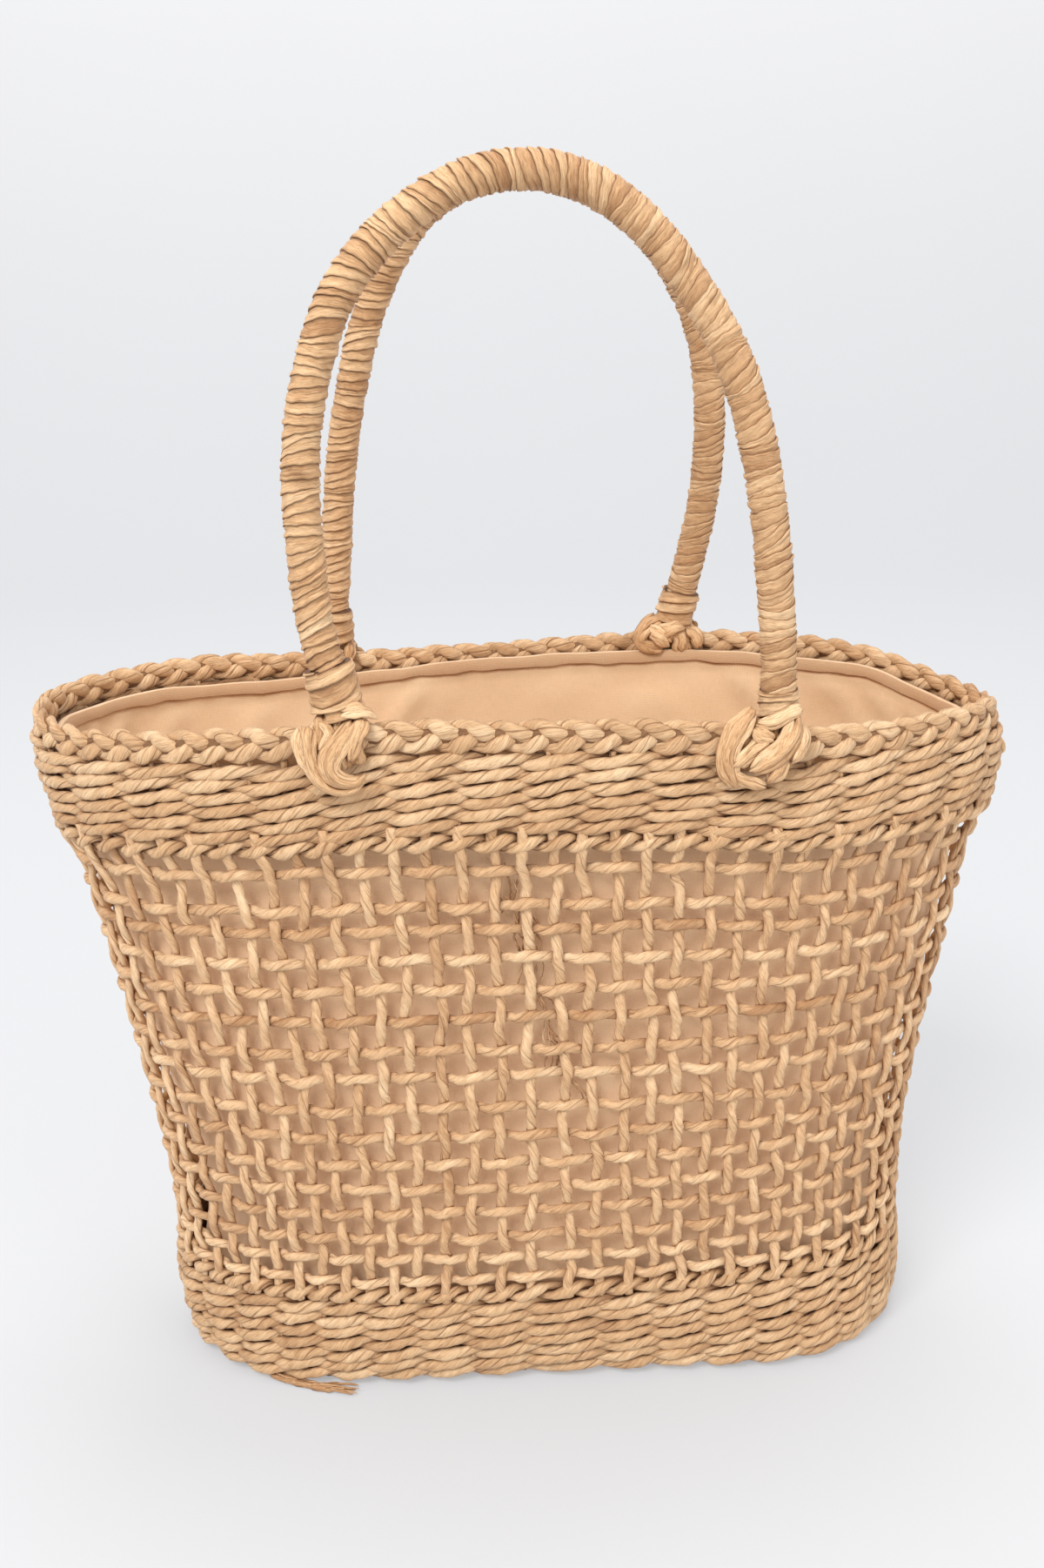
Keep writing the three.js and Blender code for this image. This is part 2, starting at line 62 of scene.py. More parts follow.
HANDLE_FRONT = [
    (-75.6, -76.8, 0), (-77.8, -75.8, 345), (-82.2, -74.3, 364), (-84.8, -71.9, 396),
    (-84.6, -69.6, 423), (-81.0, -67.1, 447), (-70.8, -63.7, 477), (-60.4, -62.0, 492),
    (-44.0, -60.1, 507), (-21.9, -58.6, 518.8), (1.6, -58.1, 521.8), (22.0, -58.7, 516.8),
    (40.2, -60.3, 504.2), (58.6, -63.1, 482), (74.2, -66.3, 455), (82.6, -69.1, 428),
    (88.2, -71.6, 397), (91.8, -73.2, 364), (93.4, -73.9, 340), (94.0, -74.0, 0)]
HANDLE_BACK = [
    (-84.6, 75.8, 0), (-83.9, 75.6, 340), (-81.4, 74.8, 361), (-79.3, 73.4, 383),
    (-76.1, 71.2, 408), (-71.0, 68.9, 434), (-62.6, 65.6, 465), (-51.4, 62.8, 490),
    (-36.0, 60.1, 510.6), (-16.0, 58.6, 522.4), (6.6, 58.2, 525.6), (34.0, 59.1, 519.6),
    (57.2, 60.9, 504.6), (74.0, 63.4, 484.8), (86.0, 66.2, 459.7), (91.3, 69.4, 430),
    (91.7, 72.1, 399), (89.3, 74.0, 376), (84.6, 75.4, 353), (80.4, 76.2, 335), (77.6, 76.6, 0)]
PLAIT_Z, PLAIT_HALF_H = 315.6, 6.8
FOOT_RISE = PLAIT_HALF_H + 0.3 + 2.4


def table(xs, ys):
    xs, ys = np.asarray(xs, float), np.asarray(ys, float)
    s = np.diff(ys) / np.diff(xs)
    m = np.zeros(len(xs))
    good = s[:-1] * s[1:] > 0
    m[1:-1] = np.where(good, 2 * s[:-1] * s[1:] / np.where(good, s[:-1] + s[1:], 1), 0)

    def at_place(at):
        at = np.clip(np.asarray(at, float), xs[0], xs[-1])
        i = np.clip(np.searchsorted(xs, at, side="right") - 1, 0, len(xs) - 2)
        h = xs[i + 1] - xs[i]
        u = (at - xs[i]) / h
        u2, u3 = u * u, u ** 3
        return ((2 * u3 - 3 * u2 + 1) * ys[i] + (u3 - 2 * u2 + u) * m[i] * h
                + (3 * u2 - 2 * u3) * ys[i + 1] + (u3 - u2) * m[i + 1] * h)
    return at_place


SECTION = [table(SECTIONS[:, 0], SECTIONS[:, k]) for k in (1, 2, 3, 4)]
LIFT = table(RIM_LIFT[:, 0], RIM_LIFT[:, 1])


def power(v, p):
    return np.sign(v) * np.abs(v) ** p


def oval(a, b, n, cx, t, inset):
    c, s = np.cos(t), np.sin(t)
    x, y = a * power(c, 2 / n), b * power(s, 2 / n)
    nx, ny = power(x / a, n - 1) / a, power(y / b, n - 1) / b
    long = np.hypot(nx, ny)
    nx, ny = nx / long, ny / long
    return cx + x - nx * inset, y - ny * inset, nx, ny


def table_angle(t):
    x, y, _, _ = oval(208.0, 84.0, 2.25, 0.0, t, 0.0)
    return np.degrees(np.arctan2(y / 84.0, x / 208.0)) % 360


def rim_lift(t):
    return LIFT(table_angle(t))


SWELLS = [  # angle, wide, height, tall, how far out
    (0, 24, 294, 40, 4.0), (0, 20, 215, 40, 1.8), (0, 20, 112, 34, -1.8), (180, 22, 314, 26, 3.2),
    (180, 26, 150, 78, 2.6), (184, 22, 38, 24, 3.2), (208, 9, 0, 22, -1.6), (226, 11, 0, 24, 2.2),
    (266, 22, 0, 24, -2.6), (303, 14, 0, 24, 3.2)]


def bulge(t, z):
    """The foot is fuller at the front right, and the weave swells a little
    at the ends."""
    angle = table_angle(t)
    turned = (angle - 312 + 540) % 360 - 180
    share = np.clip(1 - np.asarray(z, float) / 130, 0, 1)
    out = 5.0 * share * share * (3 - 2 * share) * np.exp(-(turned / 21) ** 2)
    for at, wide, height, tall, far in SWELLS:
        turned = (angle - at + 540) % 360 - 180
        out = out + far * np.exp(-(turned / wide) ** 2 - ((np.asarray(z, float) - height) / tall) ** 2)
    return out


def wall(z, t, inset):
    """A point of the straw wall and the outward direction there."""
    z, t, inset = np.broadcast_arrays(np.asarray(z, float), np.asarray(t, float), np.asarray(inset, float))
    a, b, n, cx = (f(z) for f in SECTION)
    x, y, nx, ny = oval(a, b, n, cx, t, inset - bulge(t, z))
    high = z + rim_lift(t) * np.clip((z - 58.0) / 250.1, 0, 1)
    return np.stack([x, y, high], -1), np.stack([nx, ny, np.zeros_like(nx)], -1)


def even_map():
    f = np.linspace(0, TAU, 2881)
    x, y, _, _ = oval(195.0, 78.0, 2.4, 0.0, f, 0.0)
    far = np.concatenate([[0], np.cumsum(np.hypot(np.diff(x), np.diff(y)))])
    return f, far / far[-1] * STAKES


EVEN_T, EVEN_S = even_map()


def turn(s):
    """Parameter of the oval at s uprights round from the right-hand tip."""
    s = np.asarray(s, float)
    return np.interp(np.mod(s, STAKES), EVEN_S, EVEN_T) + TAU * np.floor(s / STAKES)


def unit(v):
    return v / np.maximum(np.linalg.norm(v, axis=-1, keepdims=True), 1e-9)


def ring_noise(s, waves, seed, many=1):
    """Smooth noise that closes on itself round the bag: (many, len(s))."""
    r = np.random.default_rng(seed)
    out = np.zeros((many,) + np.shape(s))
    for k in waves:
        a = r.uniform(0.6, 1.0, (many,) + (1,) * np.ndim(s))
        p = r.uniform(0, TAU, (many,) + (1,) * np.ndim(s))
        out += a * np.sin(TAU * k * s / STAKES + p)
    return out / math.sqrt(len(waves))


def line_noise(x, scale, seed):
    """Smooth noise along open strands; x is (many, length) in mm."""
    r = np.random.default_rng(seed)
    out = np.zeros(np.shape(x))
    for part, size in ((1.0, 0.62), (0.47, 0.42), (0.22, 0.26)):
        out += size * np.sin(TAU * x / (scale * part) + r.uniform(0, TAU, (np.shape(x)[0], 1)))
    return out


# ------------------------------------------------------------------ piece maker
class Piece:
    """Gathers strands into one mesh, with the maps its material needs."""

    def __init__(self, around=14.0):
        self.verts, self.tint, self.count = [], [], 0
        self.quads, self.quad_uv, self.quad_run = [], [], []
        self.tris, self.tri_uv, self.tri_run = [], [], []
        self.run, self.around = 0.0, around

    def grid(self, V, length, phi, tint, closed, around, apart=0.0):
        """V is (M, K, S, 3): M strands of K rings of S points."""
        M, K, S, _ = V.shape
        base = self.count
        self.verts.append(V.reshape(-1, 3))
        self.tint.append(tint.reshape(-1, 4))
        self.count += M * K * S
        idx = base + np.arange(M * K * S).reshape(M, K, S)
        step = np.diff(length, axis=1)
        if closed:
            nxt = np.roll(idx, -1, axis=1)
            gap = np.linalg.norm(V[:, 0].mean(1) - V[:, -1].mean(1), axis=-1)[:, None]
            l1 = np.concatenate([length[:, 1:], length[:, -1:] + gap], 1)
            p1 = np.concatenate([phi[:, 1:], phi[:, -1:] + (phi[:, -1:] - phi[:, -2:-1])], 1)
            a, b, l0, p0 = idx, nxt, length, phi
        else:
            a, b = idx[:, :-1], idx[:, 1:]
            l0, l1, p0, p1 = length[:, :-1], length[:, 1:], phi[:, :-1], phi[:, 1:]
        k = a.shape[1]
        a2, b2 = np.roll(a, -1, axis=2), np.roll(b, -1, axis=2)
        self.quads.append(np.stack([a, a2, b2, b], -1).reshape(-1, 4))
        j = np.arange(S)
        v0, v1 = j / S, (j + 1) / S
        big = (M, k, S)
        L0, L1 = np.broadcast_to(l0[..., None], big), np.broadcast_to(l1[..., None], big)
        P0, P1 = np.broadcast_to(p0[..., None], big), np.broadcast_to(p1[..., None], big)
        V0, V1 = np.broadcast_to(v0, big), np.broadcast_to(v1, big)
        u = np.stack([L0, L0, L1, L1], -1)
        v = np.stack([V0 - P0 / TAU, V1 - P0 / TAU, V1 - P1 / TAU, V0 - P1 / TAU], -1) * around
        lane = np.arange(M)[:, None, None, None] * 37.0 + apart * 11.0
        self.quad_uv.append(np.stack([u + lane, v + np.zeros_like(u)], -1).reshape(-1, 4, 2))
        start = self.run + np.concatenate([[0], np.cumsum(l1.max(1) + 2)[:-1]])
        self.run = self.run + float(np.sum(l1.max(1) + 2))
        st = start[:, None, None, None]
        bv = np.stack([V0, V1, V1, V0], -1)
        self.quad_run.append(np.stack([u + st, bv], -1).reshape(-1, 4, 2))
        if not closed:
            for end, ring, back in ((0, idx[:, 0], True), (1, idx[:, -1], False)):
                mid = V[:, 0 if end == 0 else -1].mean(1)
                self.verts.append(mid)
                self.tint.append(tint[:, 0 if end == 0 else -1, 0])
                centre = self.count + np.arange(M)
                self.count += M
                r2 = np.roll(ring, -1, axis=1)
                c = np.broadcast_to(centre[:, None], ring.shape)
                tri = np.stack([c, r2, ring] if back else [c, ring, r2], -1)
                self.tris.append(tri.reshape(-1, 3))
                le = (length[:, 0] if end == 0 else length[:, -1])[:, None] + np.zeros(S)
                uv = np.stack([le + 1, le, le], -1)
                vv = np.stack([V0[:, 0] + 0 * le, V1[:, 0] + 0 * le, V0[:, 0] + 0 * le], -1)
                self.tri_uv.append(np.stack([uv, vv * around], -1).reshape(-1, 3, 2))
                self.tri_run.append(np.stack([uv + start[:, None, None], vv], -1).reshape(-1, 3, 2))

    def strands(self, P, out, wide, high, sides, pitch, seed, closed=False, lobes=3, notch=0.13,
                rough=0.05, tone=0.0, taper=0.0, tone_spread=1.0, slant=1.0, flank_shade=0.0, behind_shade=None,
                lines=0.75):
        """Twisted paper cords along centre lines P (M, K, 3). wide is the half
        size outwards, high the half size along the wall. The rings turn with
        the twist, so that each crease is an edge of the mesh."""
        M, K, _ = P.shape
        r = np.random.default_rng(seed)
        T = np.roll(P, -1, 1) - np.roll(P, 1, 1) if closed else np.gradient(P, axis=1)
        T = unit(T)
        B = unit(np.cross(T, out))
        O = np.cross(B, T)
        step = np.linalg.norm(np.diff(P, axis=1), axis=-1)
        length = np.concatenate([np.zeros((M, 1)), np.cumsum(step, 1)], 1)
        total = length[:, -1:] + (np.linalg.norm(P[:, :1] - P[:, -1:], axis=-1) if closed else 0)
        if closed:
            turns = np.maximum(1, np.round(total / pitch))
            warp = np.zeros_like(length)
            for k in (3, 7, 17, 31):
                warp += 0.5 * np.sin(TAU * k * length / total + r.uniform(0, TAU, (M, 1)))
            phi = TAU * turns * length / total + 0.5 * warp
            swell = np.zeros_like(length)
            for k in (23, 41, 67, 97):
                swell += np.sin(TAU * k * length / total + r.uniform(0, TAU, (M, 1)))
            swell *= rough / 2
        else:
            phi = TAU * length / (pitch * r.uniform(0.85, 1.2, (M, 1))) + r.uniform(0, TAU, (M, 1))
            phi = phi + 0.35 * line_noise(length, 40, seed + 1)
            swell = rough * line_noise(length, 23, seed + 2)
        own_angle = TAU * np.arange(sides) / sides
        lobe = np.abs(np.sin(lobes / 2 * own_angle)) ** 0.55
        uneven = own_angle[None] + 0.20 * np.sin(own_angle[None] + r.uniform(0, TAU, (M, 1)))
        w = uneven[:, None, :] - slant * phi[..., None]
        rad = 1 - notch * (1 - lobe)[None, None] + swell[..., None]
        W = np.broadcast_to(np.asarray(wide, float), (M, K)) if np.ndim(wide) != 2 else wide
        H = np.broadcast_to(np.asarray(high, float), (M, K)) if np.ndim(high) != 2 else high
        if taper and not closed:
            e = np.minimum(length, total - length) / taper
            e = np.sqrt(np.clip(e, 0.06, 1))
            W, H = W * e, H * e
        V = (P[:, :, None] + O[:, :, None] * (W[..., None] * rad * np.cos(w))[..., None]
             + B[:, :, None] * (H[..., None] * rad * np.sin(w))[..., None])
        tint = np.zeros((M, K, sides, 4))
        own = r.normal(0, 0.5, (M, 1)) * tone_spread + tone
        if closed:
            drift = np.zeros_like(length)
            for k in (5, 11, 19):
                drift += 0.28 * np.sin(TAU * k * length / total + r.uniform(0, TAU, (M, 1)))
        else:
            drift = 0.35 * line_noise(length, 120, seed + 3)
        facet = 0.30 * r.normal(0, 1, (M, 1, lobes))[:, :, (np.arange(sides) * lobes // sides) % lobes]
        tint[..., 0] = np.clip(0.5 + 0.22 * ((own + drift)[..., None] + facet), 0, 1)
        # G channel: painted shade along each crease of the twist, fading in and out along the strand
        crease_shade = (lobe < 0.05).astype(float)
        fade = np.ones((M, K, sides))
        which = (np.arange(sides) * lobes // sides) % lobes
        for k in range(lobes):
            wave = np.zeros((M, K))
            for q in (9, 15, 26) if closed else (1, 2, 3):
                wave += np.sin(TAU * q * length / np.maximum(total, 1) + r.uniform(0, TAU, (M, 1)))
            fade[..., which == k] = np.clip(lines + 0.28 * wave, 0, 1)[..., None]
        tint[..., 1] = crease_shade * fade
        # B channel: painted shade on the flanks, where a strand meets its neighbours, and where it passes behind others
        shade = flank_shade * np.clip((0.60 - np.abs(np.cos(w))) / 0.60, 0, 1) ** 1.3
        if behind_shade is not None:
            shade = shade + np.broadcast_to(behind_shade, (M, K))[..., None]
        tint[..., 2] = np.clip(shade, 0, 1)
        tint[..., 3] = 1
        around = math.pi * 2 * float(np.mean(W) + np.mean(H)) / 2
        self.grid(V, length, np.zeros_like(phi), tint, closed, around, (seed * 7.3) % 211)
        return V

    def make(self, name, material, nodes, slot):
        verts = np.concatenate(self.verts) * 0.001
        quads = np.concatenate(self.quads)
        tris = np.concatenate(self.tris) if self.tris else np.zeros((0, 3), int)
        run_q = np.concatenate(self.quad_run)
        run_t = np.concatenate(self.tri_run) if self.tris else np.zeros((0, 3, 2))
        wide = max(math.sqrt(self.run * self.around), 60.0)
        lanes = int(self.run // wide) + 1

        def lay(run):
            low = run[..., 0].min(1)
            lane = np.floor(low / wide)
            x = (run[..., 0] - lane[:, None] * wide) / (wide + 8)
            y = (lane[:, None] + 0.04 + 0.92 * run[..., 1]) / lanes
            return np.stack([0.002 + 0.996 * np.clip(x, 0, 1), 0.002 + 0.996 * y], -1).reshape(-1, 2)

        uv = np.concatenate([np.concatenate(self.quad_uv).reshape(-1, 2)]
                            + ([np.concatenate(self.tri_uv).reshape(-1, 2)] if self.tris else []))
        bake = np.concatenate([lay(run_q), lay(run_t)])
        return build(name, verts, quads, tris, uv * 0.1, bake, np.concatenate(self.tint), material, nodes)


def build(name, verts, quads, tris, uv, bake, tint, material, nodes):
    me = bpy.data.meshes.new(name)
    me.vertices.add(len(verts))
    me.vertices.foreach_set("co", np.ascontiguousarray(verts, np.float32).ravel())
    loops = np.concatenate([quads.ravel(), tris.ravel()]).astype(np.int32)
    starts = np.concatenate([np.arange(len(quads)) * 4, len(quads) * 4 + np.arange(len(tris)) * 3])
    me.loops.add(len(loops))
    me.loops.foreach_set("vertex_index", loops)
    me.polygons.add(len(starts))
    me.polygons.foreach_set("loop_start", starts.astype(np.int32))
    me.update(calc_edges=True)
    for label, data in (("weave", uv), ("OFBake", bake)):
        if data is not None:
            layer = me.uv_layers.new(name=label)
            layer.uv.foreach_set("vector", np.ascontiguousarray(data, np.float32).ravel())
    layer = me.color_attributes.new("straw", "FLOAT_COLOR", "POINT")
    layer.data.foreach_set("color", np.ascontiguousarray(tint, np.float32).ravel())
    me.polygons.foreach_set("use_smooth", np.ones(len(starts), bool))
    me.materials.append(material)
    me.update()
    piece = bpy.data.objects.new(name, me)
    bpy.context.scene.collection.objects.link(piece)
    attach(piece, "root")
    if nodes:
        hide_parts(*nodes)
    return piece


# -------------------------------------------------------------------- materials
def srgb(r, g, b):
    def one(c):
        c /= 255.0
        return c / 12.92 if c <= 0.04045 else ((c + 0.055) / 1.055) ** 2.4
    return (one(r), one(g), one(b), 1.0)


class Nodes:
    def __init__(self, name):
        self.mat = bpy.data.materials.new(name)
        self.mat.use_nodes = True
        self.tree = self.mat.node_tree
        self.tree.nodes.clear()

    def add(self, kind, **values):
        node = self.tree.nodes.new(kind)
        for key, value in values.items():
            if key.startswith("in_"):
                node.inputs[key[3:].replace("_", " ")].default_value = value
            else:
                setattr(node, key, value)
        return node

    def link(self, a, b):
        self.tree.links.new(a, b)

    def math(self, op, a, b=None, c=None):
        node = self.add("ShaderNodeMath", operation=op)
        for k, v in enumerate((a, b, c)):
            if v is None:
                continue
            if isinstance(v, (int, float)):
                node.inputs[k].default_value = v
            else:
                self.link(v, node.inputs[k])
        return node.outputs[0]

    def mix(self, kind, factor, a, b):
        node = self.add("ShaderNodeMix", data_type="RGBA", blend_type=kind)
        for socket, v in ((node.inputs[0], factor), (node.inputs[6], a), (node.inputs[7], b)):
            if isinstance(v, (int, float, tuple)):
                socket.default_value = v
            else:
                self.link(v, socket)
        return node.outputs[2]

    def ramp(self, factor, stops):
        node = self.add("ShaderNodeValToRGB")
        node.color_ramp.elements[0].position = stops[0][0]
        node.color_ramp.elements[0].color = stops[0][1]
        node.color_ramp.elements[1].position = stops[-1][0]
        node.color_ramp.elements[1].color = stops[-1][1]
        for place, colour in stops[1:-1]:
            node.color_ramp.elements.new(place).color = colour
        self.link(factor, node.inputs[0])
        return node.outputs[0]


def straw_material(name, dark, mid, light, crease_shade, streak=1.0, wrinkle=0.5, creases=0.75):
    """Twisted paper straw: long fibres that follow the twist, painted shade in thin crease lines, on hidden flanks and
    in grooves, each strand its own tone."""
    n = Nodes(name)
    uv = n.add("ShaderNodeUVMap", uv_map="weave")
    paint = n.add("ShaderNodeVertexColor", layer_name="straw")
    parts = n.add("ShaderNodeSeparateColor")
    n.link(paint.outputs["Color"], parts.inputs[0])
    tone, crease_shade_level, shade_level = parts.outputs[0], parts.outputs[1], parts.outputs[2]

    def noise(scale, detail, rough, place=(0.0, 0.0, 0.0)):
        m = n.add("ShaderNodeMapping")
        m.inputs["Scale"].default_value = scale
        m.inputs["Location"].default_value = place
        n.link(uv.outputs[0], m.inputs[0])
        t = n.add("ShaderNodeTexNoise", in_Scale=1.0, in_Detail=detail, in_Roughness=rough)
        n.link(m.outputs[0], t.inputs["Vector"])
        return t.outputs[0]

    fine = noise((2.2, 30.0, 1.0), 4.0, 0.65)
    patch = noise((1.3, 5.5, 1.0), 3.0, 0.55, (5.3, 2.1, 0.0))
    crumple = noise((10.0, 24.0, 1.0), 2.0, 0.5, (1.3, 7.1, 0.0))
    level = n.math("MULTIPLY_ADD", n.math("SUBTRACT", fine, 0.5), 1.15 * streak, tone)
    level = n.math("MULTIPLY_ADD", n.math("SUBTRACT", patch, 0.5), 0.8, level)
    colour = n.ramp(level, [(0.05, dark), (0.5, mid), (0.95, light)])
    # painted shade along the thin crease lines, broken here and there
    uneven_shade = n.math("MULTIPLY", crease_shade_level, n.math("MULTIPLY_ADD", n.math("SUBTRACT", patch, 0.5), 0.35, 1.0))
    line = n.ramp(uneven_shade, [(0.62, (0, 0, 0, 1)), (0.98, (1, 1, 1, 1))])
    colour = n.mix("MIX", n.math("MULTIPLY", line, creases), colour, n.mix("MULTIPLY", 1.0, colour, crease_shade))
    # painted shade from the B channel: flanks, crossings and the plait's core
    deep = tuple(0.62 * c for c in crease_shade[:3]) + (1,)
    shade = n.ramp(shade_level, [(0.0, (1, 1, 1, 1)), (0.45, tuple(0.40 + 0.60 * c for c in crease_shade[:3]) + (1,)), (1.0, deep)])
    colour = n.mix("MULTIPLY", 1.0, colour, shade)
    # painted shade in grooves and where strands touch, taken from ambient occlusion
    near = n.add("ShaderNodeAmbientOcclusion", samples=3, in_Distance=0.0028)
    groove_shade = n.ramp(near.outputs["AO"], [(0.10, (0.26, 0.14, 0.06, 1)), (0.42, (0.80, 0.67, 0.53, 1)), (0.66, (1, 1, 1, 1))])
    colour = n.mix("MULTIPLY", 1.0, colour, groove_shade)
    # hairline splits between the fibres, darkened with painted shade
    split = noise((1.0, 15.0, 1.0), 1.5, 0.5, (3.7, 1.9, 0.0))
    hair = n.math("ABSOLUTE", n.math("SUBTRACT", split, 0.5))
    split_shade = n.ramp(hair, [(0.0, (0.62, 0.50, 0.38, 1)), (0.028, (1, 1, 1, 1))])
    colour = n.mix("MULTIPLY", 0.8, colour, split_shade)
    gloss = n.math("MULTIPLY_ADD", fine, 0.22, 0.46)
    gloss = n.math("MULTIPLY_ADD", shade_level, 0.15, gloss)
    height = n.math("MULTIPLY_ADD", crumple, wrinkle, fine)
    height = n.math("MULTIPLY_ADD", patch, 0.8, height)
    height = n.math("MULTIPLY_ADD", n.math("MINIMUM", hair, 0.05), 12.0, height)
    height = n.math("MULTIPLY_ADD", line, -0.9, height)
    bump = n.add("ShaderNodeBump", in_Strength=0.6, in_Distance=0.0006)
    n.link(height, bump.inputs["Height"])
    shader = n.add("ShaderNodeBsdfPrincipled")
    shader.inputs["Specular IOR Level"].default_value = 0.34
    shader.inputs["Sheen Weight"].default_value = 0.06
    shader.inputs["Sheen Roughness"].default_value = 0.45
    n.link(colour, shader.inputs["Base Color"])
    n.link(gloss, shader.inputs["Roughness"])
    n.link(bump.outputs[0], shader.inputs["Normal"])
    output = n.add("ShaderNodeOutputMaterial")
    n.link(shader.outputs[0], output.inputs[0])
    return n.mat


def cotton_material(name):
    """Plain-woven cotton: fine crossed threads, soft slubs, a matt surface."""
    n = Nodes(name)
    uv = n.add("ShaderNodeUVMap", uv_map="weave")
    paint = n.add("ShaderNodeVertexColor", layer_name="straw")
    parts = n.add("ShaderNodeSeparateColor")
    n.link(paint.outputs["Color"], parts.inputs[0])
    threads = []
    for scale in ((1.0, 9.0, 1.0), (9.0, 1.0, 1.0)):
        m = n.add("ShaderNodeMapping")
        m.inputs["Scale"].default_value = scale
        n.link(uv.outputs[0], m.inputs[0])
        t = n.add("ShaderNodeTexNoise", in_Scale=2.6, in_Detail=3.0, in_Roughness=0.7)
        n.link(m.outputs[0], t.inputs["Vector"])
        threads.append(t.outputs[0])
    cloth = n.math("ADD", threads[0], threads[1])
    big = n.add("ShaderNodeTexNoise", in_Scale=0.35, in_Detail=3.0, in_Roughness=0.5)
    n.link(uv.outputs[0], big.inputs["Vector"])
    level = n.math("MULTIPLY_ADD", n.math("SUBTRACT", cloth, 1.0), 0.55, 0.5)
    level = n.math("MULTIPLY_ADD", n.math("SUBTRACT", big.outputs[0], 0.5), 0.5, level)
    colour = n.ramp(level, [(0.1, srgb(236, 194, 153)), (0.5, srgb(248, 212, 172)), (0.9, srgb(253, 224, 187))])
    shade = n.ramp(parts.outputs[2], [(0.0, (1, 1, 1, 1)), (0.26, (0.80, 0.79, 0.77, 1)), (1.0, (0.42, 0.28, 0.20, 1))])
    colour = n.mix("MULTIPLY", 1.0, colour, shade)
    weave_a = n.add("ShaderNodeTexWave", wave_type="BANDS", bands_direction="X", in_Scale=4.4, in_Distortion=0.6, in_Detail=1.0)
    weave_b = n.add("ShaderNodeTexWave", wave_type="BANDS", bands_direction="Y", in_Scale=4.4, in_Distortion=0.6, in_Detail=1.0)
    for t in (weave_a, weave_b):
        n.link(uv.outputs[0], t.inputs["Vector"])
    height = n.math("ADD", n.math("MULTIPLY", weave_a.outputs[1], weave_b.outputs[1]), cloth)
    bump = n.add("ShaderNodeBump", in_Strength=0.35, in_Distance=0.0004)
    n.link(height, bump.inputs["Height"])
    shader = n.add("ShaderNodeBsdfPrincipled")
    shader.inputs["Specular IOR Level"].default_value = 0.18
    shader.inputs["Roughness"].default_value = 0.88
    shader.inputs["Sheen Weight"].default_value = 0.18
    shader.inputs["Sheen Roughness"].default_value = 0.5
    n.link(colour, shader.inputs["Base Color"])
    n.link(bump.outputs[0], shader.inputs["Normal"])
    output = n.add("ShaderNodeOutputMaterial")
    n.link(shader.outputs[0], output.inputs[0])
    return n.mat


DARK, MID, LIGHT = srgb(178, 131, 90), srgb(217, 175, 130), srgb(241, 207, 166)
# colour of the painted shade in creases, on hidden flanks and behind crossings
CREASE_SHADE_COLOUR = (0.34, 0.22, 0.13, 1)
LATTICE = straw_material("straw_lattice", srgb(185, 137, 94), srgb(225, 182, 137), srgb(248, 214, 172), CREASE_SHADE_COLOUR, creases=0.56)
BAND = straw_material("straw_band", DARK, MID, LIGHT, CREASE_SHADE_COLOUR)
PLAIT = straw_material("straw_plait", srgb(178, 132, 91), srgb(214, 172, 128), srgb(238, 204, 163), CREASE_SHADE_COLOUR)
WRAP = straw_material("straw_wrap", srgb(185, 136, 92), srgb(225, 181, 134), srgb(248, 212, 168), CREASE_SHADE_COLOUR, 1.1, 0.9)
COTTON = cotton_material("lining_cotton")

# ---------------------------------------------------------------- open lattice
FRONT_ROWS = [264.6, 248.3, 237.7, 223.7, 209.8, 196.2, 180.5, 168.1, 152.3, 138.0, 124.0, 111.0,
              98.4, 85.1, 73.5, 62.2]
ROWS = np.array([(z + 1.30) / 1.0224 for z in FRONT_ROWS])
MID_WALL = 2.7   # depth of the weave's middle below the outer face


